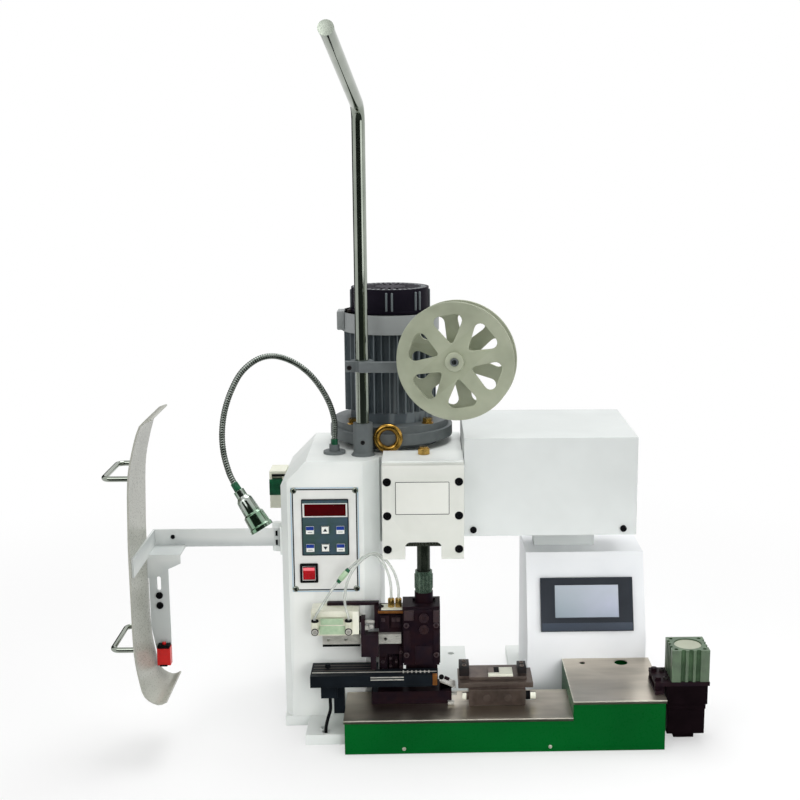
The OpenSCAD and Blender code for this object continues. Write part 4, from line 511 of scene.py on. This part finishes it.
# The solids of each finish, and how far their edges are broken, in mm. 0 keeps the solid's own mesh.
skins = {
    "powderCoatWhite": dict(base_plate=0.8, body_shell=1.2, rear_covers=0.8, head_block=1.0, guard_hinge=0.5),
    "sprayedCoverWhite": dict(head_cover=1.4),
    "mattBlackRubber": dict(cover_screws=0.3),
    "turnedBrass": dict(brass_fittings=0.4, eyebolt=0, flange_bolts=0.4),
    "soakedDarkSteel": dict(bolster_block=0.6),
    "blackenedSteel": dict(applicator_base=0.6, applicator_frame=0.7, drive_bracket=0.6, applicator_ram=0.5,
        feed_carriage=0.5),
    "groundSteel": dict(anvil=0.3, linear_rails=0.5, crankshaft=0, motor_rotor=0, lead_screw=0),
    "anodisedCream": dict(feed_cylinder=0.6, connector_box=0.6),
    "anodisedInk": dict(terminal_track=0.5),
    "stovedGreenEnamel": dict(front_case=0.8),
    "brushedStainless": dict(top_covers=0.5),
    "shadedPowderCoat": dict(control_box=1.0, guard_arm=0.4),
    "powderCoatCool": dict(console_shell=1.2),
    "mouldedSlate": dict(screen_unit=2.6),
    "anodisedBarrel": dict(drive_cylinder=0.6),
    "bakedBlackEnamel": dict(servo_motor=0.8),
    "paintedFinGrey": dict(motor_body=0.6),
    "mouldedBlack": dict(fan_cowl=0.8),
    "paintedCastGrey": dict(motor_flange=1.2, post_sockets=0.6, reel_arm=0.6),
    "polishedChrome": dict(guide_pole=0, guard_handles=0),
    "printedFilm": dict(panel_plate=0.3),
    "castBronze": dict(crank_bearings=0, worm_wheel=0),
    "resistGreen": dict(circuit_boards=0),
    "oiledRamSteel": dict(ram_slide=0.6),
    "phosphatedSteel": dict(ram_adapter=0.3),
    "blastedCastAlloy": dict(guide_wheel=0.9),
    "greenReflectionChrome": dict(lamp_head=0.5),
    "mouldedRed": dict(power_rocker=0.6),
    "bentPolycarbonate": dict(guard_shield=0.4),
    "switchLeverRed": dict(safety_switch=1.0),
    "brownedSteel": dict(clamp_carriage=0.6, clamp_jaw=0.5),
    "keyWhite": dict(key_up=0.4, key_down=0.4, key_1=0.4, key_2=0.4, key_3=0.4, key_4=0.4),
}


def dressSolid(node, finish, rounding):
    source = frame["nodes"][node]
    if not rounding:
        source.data.materials.clear()
        source.data.materials.append(materials[finish])
        return
    points = np.empty(3 * len(source.data.vertices))
    source.data.vertices.foreach_get("co", points)
    corners = np.empty(len(source.data.loops), int)
    source.data.loops.foreach_get("vertex_index", corners)
    piece = meshObject(node + "_dressed", points.reshape(-1, 3), corners.reshape(-1, 3).tolist(), finish,
                       meshSet["solidWeld"], meshSet["solidSharp"], meshSet["solidFlat"])
    addBevel(piece, rounding)
    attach(piece, source["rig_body"])
    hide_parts(node)


for finish, solids in skins.items():
    for node, rounding in solids.items():
        dressSolid(node, finish, rounding)
print("solids dressed:", sum(len(solids) for solids in skins.values()))

# Air hoses and the sensor's lead: each one's route repeats the solid's own points
hoseSet = {
    "left": [[-44, 46, 192], [-44, 46, 198], [-32, 48, 218], [-14, 52, 245], [8, 57, 270], [28, 62, 286],
             [44, 66, 289], [56, 72, 277], [65, 78, 255], [69, 80, 232], [69, 80, 210]],
    "right": [[6, 46, 192], [6, 46, 198], [1, 46, 222], [4, 49, 248], [16, 54, 272], [34, 60, 288],
              [49, 66, 290], [62, 74, 277], [74, 79, 256], [80, 80, 232], [80, 80, 210]],
    "lead": [[-24, 50, 72], [-24, 50, 64], [-24, 49, 50], [-28, 48, 36], [-31, 47, 22], [-31, 47, 8]],
    "hoseRadius": 2.0, "leadRadius": 2.5, "sides": 14, "steps": 120,
}


def layHose(name, points, radius, finish, replaces=()):
    route = smoothRoute(points, hoseSet["steps"])
    piece = makePiece(name, [tubeAlong(route, radius, hoseSet["sides"], [0, 1, 0])], finish, replaces=replaces)


layHose("leftAirHose", hoseSet["left"], hoseSet["hoseRadius"], "clearHose", replaces=["air_tubes"])
layHose("rightAirHose", hoseSet["right"], hoseSet["hoseRadius"], "clearHose")
layHose("sensorLead", hoseSet["lead"], hoseSet["leadRadius"], "mattBlackRubber")

# Small check valve in the left hose: mint body between two dark nuts
valve = {"at": [-1, 55, 260], "aim": [22, 5, 26], "nut": np.array([[8, 0], [8, 3.9], [13, 3.2], [13, 0]]),
         "body": [[-8, 0], [-8, 3.6], [-6, 4.4], [6, 4.4], [8, 3.6], [8, 0]]}
fit("hoseValveBody", "anodisedMint", profile=valve["body"], places=[valve["at"]], axis=valve["aim"])
makePiece("hoseValveNuts", [revolve(valve["nut"] * [side, 1], valve["at"], valve["aim"], sides=6)
                            for side in (-1, 1)], "smokedGreenPlastic")

# Gooseneck: a wound tube whose radius rises and falls once for each turn of its wire
neckSet = {
    "route": [[-18, 161, 427], [-18, 161, 440], [-17, 161, 470], [-23, 159, 498], [-36, 154, 526],
              [-55, 147, 552], [-78, 136, 571], [-103, 123, 581], [-126, 109, 578], [-147, 94, 562],
              [-161, 79, 537], [-170, 67, 508], [-173, 56, 478], [-170, 46, 450], [-162, 36, 425],
              [-154, 28, 411], [-147, 22, 401]],
    "radius": 4.5, "turn": 3.6, "perTurn": 6, "groove": 0.16, "sides": 16, "across": [0.57, -0.82, 0],
    "foot": [-18, 161, 428], "footRing": [[0, 0], [0, 5.4], [16, 5.4], [17.5, 4.9], [17.5, 0]],
    "headAim": [33, -12, -52], "headRing": [[-13, 0], [-13, 4.9], [-12, 5.3], [-0.5, 5.6], [-0.5, 0]],
    "lens": [[59.5, 0], [60.5, 10], [60.5, 14.2], [59, 14.2], [59, 0]],
}
neckLong = routeLength(smoothRoute(neckSet["route"], 400))
neckTurns = int(neckLong / neckSet["turn"])
neckRoute = smoothRoute(neckSet["route"], neckTurns * neckSet["perTurn"] + 1)
wave = np.abs(np.sin(np.pi * np.arange(len(neckRoute)) / neckSet["perTurn"]))
neckRadii = neckSet["radius"] * (1 - neckSet["groove"] * (1 - wave) ** 2)
neckEnd = neckSet["route"][-1]
makePiece("lampGooseneck", [tubeAlong(neckRoute, neckRadii, neckSet["sides"], neckSet["across"])],
          "woundChrome", "lamp", replaces=["lamp_neck"], sharp=60)
makePiece("lampFerrules", [revolve(neckSet["footRing"], neckSet["foot"], toTop),
                           revolve(neckSet["headRing"], neckEnd, neckSet["headAim"])],
          "smokedGreenPlastic", "lamp")
fit("lampLens", "keyWhite", profile=neckSet["lens"], places=[neckEnd], axis=neckSet["headAim"], body="lamp")
print("hoses, lead and gooseneck:", round(neckLong), "mm of neck")

# Front panel: printed borders, corner screws, keypad film and display filter
panel = {"x": (-82, 21), "z": (219, 384), "ink": (101.3, 101.6), "padX": (-65, 5), "padZ": (278, 365),
         "film": (100.35, 100.48), "dome": [[0, 0], [0, 4.8], [0.8, 4.6], [1.9, 3.5], [2.5, 1.9], [2.6, 0.7],
                                            [1.4, 0.6], [1.4, 0]]}
for name, by, width, finish in (("panelDarkBorder", 2.4, 1.9, "printedDarkLine"),
                                ("panelBlueBorder", 0.3, 1.3, "printedBlueLine")):
    border = borderRing(inset(panel["x"], by), inset(panel["z"], by), 2.0, width, panel["ink"])
    makePiece(name, [border], finish)
panelScrews = [(x, z) for x in inset(panel["x"], 5) for z in inset(panel["z"], 5)]
fit("panelScrews", "polishedChrome", profile=panel["dome"], places=[[x, 101.5, z] for x, z in panelScrews])
# Black bars across the screw heads: painted shade where the slots are
slots = [prism(roundedOutline((x - 3, x + 3), (z - 0.5, z + 0.5), 0.4), 98.7, 99.6) for x, z in panelScrews]
makePiece("panelScrewSlotShade", [turned(slot, [x, 99, z], toFront, -spin) for slot, (x, z), spin
                              in zip(slots, panelScrews, (35, 60, 20, 50))], "mattBlackRubber")
makePiece("keypadRim", [borderRing(inset(panel["padX"], -0.6), inset(panel["padZ"], -0.6), 1.6, 1.7,
                                   (100.0, 101.5))], "printedDarkLine")
makePiece("keypadFilm", [prism(roundedOutline(inset(panel["padX"], 0.6), z, 1.0), *panel["film"])
                         for z in ((278.6, 337.6), (359.2, 364.4))], "printedKeypad")
makePiece("displayFilter", [roundBlock([-61.3, 100.6, 339.2], [1.3, 101.05, 357.8], 0.2)], "redFilter")

# Key prints: an arrow in a frame on two keys, a blue field over a dash on the others
keyAt = {"button_up": (-30, 318), "button_down": (-30, 290), "button_1": (-53, 318), "button_2": (-7, 318),
         "button_3": (-53, 290), "button_4": (-7, 290)}
for body, (x, z) in keyAt.items():
    if body in ("button_up", "button_down"):
        s = 1 if body == "button_up" else -1
        arrow = [[x - 3.2, z - 2.2 * s], [x + 3.2, z - 2.2 * s], [x, z + 3.0 * s]]
        makePiece(body + "_arrow", [prism(arrow, 97.1, 97.4)], "printedDarkLine", body)
        makePiece(body + "_rim", [borderRing((x - 6, x + 6), (z - 6, z + 6), 1.0, 0.6, (97.2, 98.2))],
                  "printedDarkLine", body)
    else:
        field = roundedOutline((x - 5.8, x + 5.8), (z + 0.2, z + 5.8), 0.7)
        dash = roundedOutline((x - 3.6, x + 3.6), (z - 3.4, z - 2.6), 0.3)
        makePiece(body + "_top", [prism(field, 97.1, 97.6)], "keyBlue", body)
        makePiece(body + "_mark", [prism(dash, 97.1, 97.5)], "printedDarkLine", body)

rocker = {"bezelX": (-69.6, -42.4), "bezelZ": (234.4, 264.6), "lensX": (-64.6, -47.4), "lensZ": (255.0, 259.6),
          "pivot": [-56, 104.5, 249.5], "lean": 9}
makePiece("rockerBezel", [borderRing(rocker["bezelX"], rocker["bezelZ"], 1.6, 3.6, (98.6, 101.6))],
          "mattBlackRubber", bevel=0.3)
makePiece("rockerLens", [turned(prism(roundedOutline(rocker["lensX"], rocker["lensZ"], 0.8), 99.0, 100.4),
                                rocker["pivot"], [1, 0, 0], rocker["lean"])], "litPink", "rocker")
print("front panel dressed")

# Press head: a blank plate where a label was, and two set screws
fit("headBlankPlate", "sprayedCoverWhite", [([77, 49.6, 354], [158, 50.6, 405], 0.3)])
makePiece("headPlateBorder", [borderRing((77.6, 157.4), (354.6, 404.4), 1.4, 0.9, (49.45, 49.8))],
          "printedDarkLine")
fit("socketSetScrew", "soakedDarkSteel", profile=socketHead(3.6, 1.2, 1.3, 2.0, 0.6, 0.1),
    places=[[27, 134.6, 445]], sides=[24])
fit("reelArmScrew", "soakedDarkSteel", profile=socketHead(3.8, 2.2, 2.4, 2.2, 1.2, 0.1),
    places=[[9, 127.2, 562]], sides=[24], body="reel")

# Motor: the grille round the cowl's top, pairs of ribs down its side in a lighter grey that paints their
# highlight, and the clamping ring with its lug
cowl = {"centre": (68, 257), "slots": 40, "slotHalf": 2.3, "slotReach": (49.0, 58.5), "slotZ": (670.1, 671.6),
        "ribs": 8, "ribTurn": 4, "ribHalf": 1.6, "ribReach": (60, 63.6), "ribZ": (638, 667)}


def roundCowl(half, reach, z, r, turns):
    x, y = cowl["centre"]
    block = roundBlock([x - half, y - reach[1], z[0]], [x + half, y - reach[0], z[1]], r, 2)
    return [turned(block, [x, y, 0], [0, 0, 1], turn) for turn in turns]


slotTurns = np.arange(cowl["slots"]) * 360 / cowl["slots"]
ribTurns = [turn + side for turn in np.arange(cowl["ribs"]) * 360 / cowl["ribs"]
            for side in (-cowl["ribTurn"], cowl["ribTurn"])]
makePiece("cowlGrilleGaps", roundCowl(cowl["slotHalf"], cowl["slotReach"], cowl["slotZ"], 0.5, slotTurns),
          "paintedCastGrey")
makePiece("cowlRibHighlights", roundCowl(cowl["ribHalf"], cowl["ribReach"], cowl["ribZ"], 0.6, ribTurns),
          "paintedFinGrey")
fit("motorRingLug", "lighterRingGrey", [([-15, 224, 606], [-3, 256, 636], 2.0)])
fit("motorRingSkin", "lighterRingGrey",
    profile=[[0, 76.4], [0, 77.4], [30.1, 77.4], [30.1, 62.3], [29.7, 62.3], [29.7, 76.4], [0, 76.4]],
    places=[[68, 257, 603.4]], axis=toTop, sides=[96])
fit("motorRingScrew", "soakedDarkSteel", profile=[[0, 0], [0, 4], [5, 3.6], [5.4, 0]], places=[[4, 232, 633]],
    axis=toTop, sides=[6])
makePiece("rearTopPlate",
          [prism([[-84.5, 382.6], [50, 382.6], [50, 412.5], [-54, 412.5], [-84.5, 384]], 310, 313)],
          "powderCoatWhite")
print("head and motor dressed")

# Applicator: air plate, fittings, screws, dials, levers, terminal strip and the scrap chute
fit("airPlateSides", "castBronze", [([49.4, 65.4, 195.8], [97.6, 94.6, 200.0], 0.8)])
fit("airPlateTop", "anodisedCream", [([54, 66.5, 199.4], [93, 93.5, 201.6], 0.6)])
fit("airPlateScrews", "soakedDarkSteel", profile=socketHead(3.8, 3.0, 3.4, 2.2, 2.0),
    places=[[54, 80, 200.5], [93, 80, 200.5]], axis=toTop)
fit("flutedFittings", "turnedBrass",
    profile=[[0, 0], [0, 5.0], [5, 5.0], [5.6, 4.4], [6.4, 4.4], [7, 5.0], [13, 5.0], [14, 4.2], [14.4, 2.6]],
    places=[[69, 80, 201.2], [80, 80, 201.2]], axis=toTop, sides=[48, 12, 0.12])
fit("applicatorScrews", "bluedSteel", profile=socketHead(4.2, 1.6, 2.0, 2.3, 0.8),
    places=[[x, 56.2, z] for x in (92, 137) for z in (133, 180)])
fit("heightDials", "bluedSteel", profile=socketHead(7.6, 2.8, 3.2, 3.6, 2.2),
    places=[[118.5, 58.2, 191], [118.5, 58.2, 173]], sides=[48, 16, 0.05], bevel=0.2)
fit("barSkin", "blackenedSteel",
    [([-28, 75.2, 205.8], [50.2, 86.4, 209.8], 0.6), ([43.2, 75.2, 168.6], [50.2, 86.4, 209.6], 0.6)])
fit("frontCorners", "bluedSteel",
    [([88.5, 54.8, 188], [103, 58.4, 203.4], 0.8), ([132.5, 54.8, 184], [141.6, 58.4, 203.4], 0.8)])
fit("frontRaisedPlate", "blackenedSteel", [([105, 56.4, 118], [131, 58.3, 147], 0.7),
                                           ([88.2, 57.2, 140], [97.5, 58.3, 172], 0.5),
                                           ([133, 57.2, 140], [141.2, 58.3, 172], 0.5)])
fit("housingBlocks", "blackenedSteel", [([52, 68.5, 170], [66, 74.4, 192], 0.9),
                                        ([68, 69.5, 172], [84, 74.4, 190], 0.9),
                                        ([51.5, 70, 96], [60, 74.4, 124], 0.7),
                                        ([80.5, 70, 98], [86.4, 74.4, 140], 0.7)])
fit("housingButtons", "bluedSteel", [([x, 66.8, 182], [x + 5.5, 69.8, 188], 0.6) for x in (54, 70, 77)],
    profile=socketHead(2.6, 1.4, 1.5, 1.3, 0.7, 0.1),
    places=[[55.5, 70.2, 117], [55.5, 70.2, 104], [83.4, 70.2, 132], [83.4, 70.2, 108]], sides=[20])
fit("windowWorks", "blackenedSteel", [([60.5, 86, 94], [81.5, 104, 130], 0.8),
                                      ([64, 80, 100], [70, 88, 126], 0.8),
                                      ([73, 82, 106], [78, 88, 122], 0.8)])
fit("windowPins", "bluedSteel", profile=[[0, 0], [0, 2.2], [3, 2.0], [3.2, 0]],
    places=[[67, 80, 119], [67, 80, 107], [75.5, 80, 114]], sides=[16])
fit("rodEndLevers", "groundSteel", [([26, 56, 184], [44, 62, 188], 1.0), ([24, 54, 174], [35, 60, 181], 1.2),
                                    ([36, 55, 175], [43, 60, 182], 1.2)],
    profile=[[0, 0], [0, 2.6], [3, 2.4], [3, 0]], places=[[25, 54, 165]])
fit("terminalStrip", "groundSteel", [([-50, 44, 110.7], [137, 46.4, 111.4], 0.2),
                                     *[([x, 40, 107], [x + 2.2, 46, 113], 0.4, 2)
                                       for x in np.arange(86, 128, 6.4)]])
fit("trackEdgeStrip", "groundSteel", [([38, 30.2, z], [88, 31.4, z + 1.6], 0.4) for z in (103.6, 107.4)])
fit("shearGuide", "castBronze", [([131, 29.8, 95], [138, 36, 112], 0.8)])
fit("clampKnobs", "mattBlackRubber", profile=[[0, 0], [0.6, 3.2], [3, 4.0], [5.4, 3.2], [6, 0]],
    places=[[144, 62, 95]], axis=[0.2, -1, 0.3])
fit("knobPins", "blackenedSteel", profile=[[0, 0], [0, 2.6], [7, 2.6], [7.6, 0]], places=[[150, 64, 93]],
    axis=[0.8, -0.5, -0.2])
makePiece("scrapChute", [prism([[141.6, 88.6], [166.3, 78.5], [166.3, 76.0], [143.8, 85.6]], 61.4, 84.6)],
          "groundSteel", bevel=0.3)
fit("chuteBlock", "brownedSteel",
    [([142.5, 66, 54.4], [157, 98, 68], 0.8), ([146, 60.5, 60], [153, 67, 66], 0.8)])
fit("chuteTabs", "groundSteel",
    [([154, 58, 66.4], [168, 70, 69], 0.6), ([154, 50, 54.4], [164, 60, 59], 0.8)])
print("applicator dressed")

# Feed cylinder: mint front, elbows with dark collars and steel screw ends, black strips by the rail
elbowX = (-44, 6)
fit("cylinderFront", "anodisedMint",
    [([-38, 49.0, 170], [0.5, 50.6, 183], 0.5), ([-36, 49.2, 185], [-2, 50.6, 195], 0.5)])
fit("elbowScrews", "groundSteel", profile=socketHead(4.4, 1.4, 1.6, 2.6, 0.9),
    places=[[x, 41.2, 177] for x in elbowX])
fit("elbowRings", "soakedDarkSteel", profile=[[0, 4.2], [0, 5.6], [1.4, 5.5], [1.4, 4.3], [0, 4.2]],
    places=[[x, 41.4, 177] for x in elbowX])
fit("elbowCollars", "mattBlackRubber", profile=[[0, 2.2], [0, 5.6], [2.4, 5.4], [2.6, 2.2], [0, 2.2]],
    places=[[x, 46, 191.6] for x in elbowX], axis=toTop)
fit("railStrips", "mattBlackRubber",
    [([-35, 65.4, 163.1], [22, 73.5, 167.2], 0.4), ([-35, 65.4, 144.0], [22, 73.5, 147.8], 0.4)])
fit("trackLines", "brownedSteel", [([-49, y, 110.9], [44, y + 1.0, 111.25], 0.15) for y in (52, 62, 72)])
fit("trackKnob", "mattBlackRubber", profile=[[0, 0], [0, 4.3], [3, 4.1], [4, 3.0], [4.2, 0]],
    places=[[-28, 66, 111]], axis=toTop)

# Clamp: bright insert with its slot filled by a black block as painted shade, black end blocks, cap screws and
# roller ends
fit("jawInsert", "anodisedCream",
    [([216, 62.6, 93.0], [254, 70, 97.6], 0.7), ([233.5, 69.6, 93.0], [254, 92, 96.9], 0.7)], body="jaw")
fit("jawSlotShade", "mattBlackRubber", [([225.5, 70.2, 93.2], [233, 92.4, 97.0], 0.4)], body="jaw")
fit("jawEndLeft", "soakedDarkSteel", [([171.7, 65.7, 93.6], [187.3, 100.3, 107.7], 1.0)], body="jaw")
fit("jawEndRight", "soakedDarkSteel", [([261.7, 71.7, 93.6], [275.3, 100.3, 103.7], 1.0)], body="jaw")
fit("jawEndScrews", "brownedSteel", profile=socketHead(3.4, 1.6, 1.8, 2.0, 0.7),
    places=[[179.5, 74, 107.4], [179.5, 92, 107.4], [268.5, 79, 103.4], [268.5, 93, 103.4]], axis=toTop,
    body="jaw")
fit("clampCapScrews", "soakedDarkSteel", profile=[[0, 0], [0, 4.8], [0.5, 4.8], [0.6, 0]],
    places=[[213, 44.9, 67], [245, 44.9, 67]], body="carriage", sides=[24])
makePiece("rollerCaps", [revolve([[0, 0], [0, 6.2], [side, 6.2], [side + 0.6, 5.4], [side + 0.6, 0]],
                                 [x, 54, 67], [way, 0, 0]) for x, way, side in ((279.6, 1, 8), (182.2, -1, 6))],
          "anodisedCream", "carriage")
fit("rollerBands", "mattBlackRubber", profile=[[0, 0], [0, 6.5], [6.5, 6.5], [6.5, 0]],
    places=[[273, 54, 67]], axis=[1, 0, 0], body="carriage")
print("clamp dressed")

# Operator screen, on the console's leaning face
screenSet = {"lean": 20, "foot": (164.9, 110), "glass": ([329.2, 36.2, 6.0], [431.8, 87.8, 6.9], 0.3),
             "band": ([307.6, 15.4, 7.4], [453.4, 27.6, 8.35], 0.35)}


def onFace(shape):
    # the shape's x runs right, its y up the face and its z out of it
    points, faces, caps = shape
    x, y, z = points.T
    rise, out = math.cos(math.radians(screenSet["lean"])), math.sin(math.radians(screenSet["lean"]))
    footY, footZ = screenSet["foot"]
    return np.stack([x, footY + y * out - z * rise, footZ + y * rise + z * out], 1), faces, caps


makePiece("screenGlass", [onFace(roundBlock(*screenSet["glass"]))], "screenGlassPaintedReflection")
makePiece("screenLowerBand", [onFace(roundBlock(*screenSet["band"]))], "mouldedSlateLight")
print("screen dressed")

# Drive unit, connector housing, guard fittings and case screws
# A thin pale disc on the drive cylinder's top face: painted light on its top
fit("cylinderTopPaintedLight", "blastedCastAlloy", profile=[[0, 0], [0, 20.6], [0.5, 20.2], [0.6, 0]],
    places=[[518, 49.5, 146.0]], axis=toTop, sides=[48])
fit("driveBracketScrews", "soakedDarkSteel", profile=socketHead(4, 4, 4.3, 2.3, 2.6),
    places=[[483, 66, 97.6], [483, 34, 97.6]], axis=toTop)
fit("connectorBody", "smokedGreenPlastic", [([-124.4, 195.6, 347], [-97.6, 240.4, 373], 0.8)])
# A black bar standing in for the connector's slot: painted shade
fit("connectorSlotShade", "mattBlackRubber", [([-120, 195.4, 377.5], [-98.5, 197, 381.5], 0.6)])
fit("guardSlotScrews", "mattBlackRubber", profile=socketHead(5.3, 2.4, 2.8, 3.0, 1.2),
    places=[[-281.9, 91.2, 220], [-281.9, 91.2, 204]], body="guard")
fit("guardArmScrews", "mattBlackRubber", profile=socketHead(3.4, 1.4, 1.6, 1.8, 0.7, 0.1),
    places=[[-268, 140.7, 297]], body="guard")
fit("hingeBlocks", "mattBlackRubber", [([-110.2, 139.0, z], [-106.6, 141, z + 9], 0.3) for z in (282.5, 297)],
    body="guard")
fit("switchCaps", "mattBlackRubber",
    [([-286, 76.4, 139.6], [-268, 90.4, 144.6], 1.0), ([-284, 76.6, 111.0], [-272, 90.4, 114.4], 1.0)],
    body="guard")
fit("caseFaceScrews", "hemHighlightCream", profile=[[0, 0], [0, 3.0], [0.8, 2.7], [1.2, 1.6], [1.25, 0]],
    places=[[88, 0.1, 8], [306, 0.1, 8]], sides=[20])
# Cream bars along the covers' lips and the raised cover's edge: painted highlight
fit("coverHemHighlights", "hemHighlightCream", [([-1.6, -1.9, 52.4], [340, -0.4, 54.2], 0.6),
                                 ([340, -1.9, 77.8], [479.6, -0.4, 79.7], 0.6),
                                 ([339.5, -1.5, 78.0], [341.0, 164, 79.8], 0.5),
                                 ([0, 101.5, 52.6], [340, 102.9, 54.4], 0.5)])
print("drive, guard and case dressed")

# Floor that runs out to white, and a world that shows white to the eye, to gloss and through glass
studio = {"floorColour": "#F4F4F4", "floorSize": 12.0, "floorSteps": 9, "floorZ": -0.0006, "fade": (0.45, 1.5),
          "glow": (0.45, 1.0), "worldSoft": 0.52, "matt": 0.9, "paperSheen": 0.1, "cardColour": "#2B332C"}


def whiteWhereSeen(material):
    # 1 for rays of the camera, of reflections and through glass, 0 for the light that falls on the object
    rays = addNode(material, "LightPath").outputs
    seen = rays["Is Camera Ray"]
    for kind in ("Is Glossy Ray", "Is Transmission Ray"):
        seen = addNode(material, "Math", {0: seen, 1: rays[kind]}, operation="MAXIMUM").outputs[0]
    return seen


world = bpy.data.worlds.new("whiteStudio")
scene.world = world
world.use_nodes = True
level = remap(world, whiteWhereSeen(world), target=(studio["worldSoft"], 1.0))
wire(world, world.node_tree.nodes["Background"], {"Color": (1.0, 1.0, 1.0, 1.0), "Strength": level})

half = studio["floorSize"] / 2
gridLine = np.linspace(-half, half, studio["floorSteps"])
gridX, gridY = np.meshgrid(gridLine, gridLine, indexing="ij")
floorPoints = np.stack([gridX.ravel(), gridY.ravel(), np.full(gridX.size, studio["floorZ"])], 1)
floorMesh = bpy.data.meshes.new("studioFloor")
floorMesh.from_pydata(floorPoints.tolist(), [], gridFaces(*gridX.shape, closeCols=False).tolist())
paper, paperShader = newMaterial("seamlessPaper")   # matt white background paper
wire(paper, paperShader, {"Base Color": hexColour(studio["floorColour"]), "Roughness": studio["matt"],
                          "Specular IOR Level": studio["paperSheen"]})
glow = addNode(paper, "Emission", {"Strength": 1.0}).outputs[0]
distance = addNode(paper, "VectorMath", {0: addNode(paper, "TexCoord").outputs["Object"]},
                   operation="LENGTH").outputs["Value"]
fade = remap(paper, distance, studio["fade"], studio["glow"], "SMOOTHSTEP")
share = addNode(paper, "Math", {0: fade, 1: whiteWhereSeen(paper)}, operation="MULTIPLY").outputs[0]
blend = addNode(paper, "MixShader", {0: share, 1: paperShader.outputs[0], 2: glow}).outputs[0]
wire(paper, paper.node_tree.nodes["Material Output"], {"Surface": blend})
floorMesh.materials.append(paper)
floor = addObject("studioFloor", floorMesh)

# Soft lamps. The low one would show as a spot in the screen, so gloss doesn't see it.
lamps = {
    "keySoftbox": dict(place=(-1.3, -1.9, 1.9), aim=(0.1, 0.0, 0.3), size=1.3, power=13),
    "fillSoftbox": dict(place=(1.9, -1.6, 1.1), aim=(0.1, 0.0, 0.3), size=1.4, power=11),
    "topSoftbox": dict(place=(0.2, 0.4, 2.4), aim=(0.1, 0.0, 0.2), size=1.4, power=32),
    "lowSoftbox": dict(place=(0.45, -1.5, 0.5), aim=(0.14, 0.0, 0.08), size=0.6, power=0.75, spread=44),
}
for name, lamp in lamps.items():
    data = bpy.data.lights.new(name, "AREA")
    data.size = lamp["size"]
    data.energy = lamp["power"]
    data.spread = math.radians(lamp.get("spread", 180))
    light = addObject(name, data)
    light.location = lamp["place"]
    light.rotation_euler = (mathutils.Vector(lamp["aim"]) - light.location).to_track_quat("-Z", "Y").to_euler()
    light.visible_camera = False
    light.visible_glossy = "spread" not in lamp

# Dark cards that only gloss sees: they give chrome and enamel their dark bands, and cast no shadow.
# The front one is a sweep that lies on the floor and bends up behind the camera.
cards = {"front": dict(turns=(-44, 72), reach=(0.02, 1.0, 2.2, 3.0, 3.3, 3.4, 3.4),
                       height=(0.002, 0.002, 0.002, 0.05, 0.3, 0.7, 2.8)),
         "back": dict(turns=(-158, -108), reach=(3.4, 3.4, 3.4), height=(-0.2, 1.2, 2.8))}
cardSteps = 24
cardBoard, cardShader = newMaterial("darkCardBoard")   # matt grey-green board
wire(cardBoard, cardShader, {"Base Color": hexColour(studio["cardColour"]), "Roughness": studio["matt"]})
for name, sweep in cards.items():
    # point(u, v) = reach(v) * (sin u, -cos u), raised by height(v)
    u = np.radians(np.linspace(*sweep["turns"], cardSteps))[:, None]
    reach, height = np.array(sweep["reach"])[None], np.array(sweep["height"])[None]
    cardPoints = np.stack([reach * np.sin(u), -reach * np.cos(u), height + 0 * u], -1).reshape(-1, 3)
    cardMesh = bpy.data.meshes.new(name + "DarkCard")
    cardMesh.from_pydata(cardPoints.tolist(), [], gridFaces(cardSteps, reach.size, closeCols=False).tolist())
    cardMesh.materials.append(cardBoard)
    card = addObject(name + "DarkCard", cardMesh)
    card.visible_camera = card.visible_diffuse = card.visible_shadow = card.visible_transmission = False
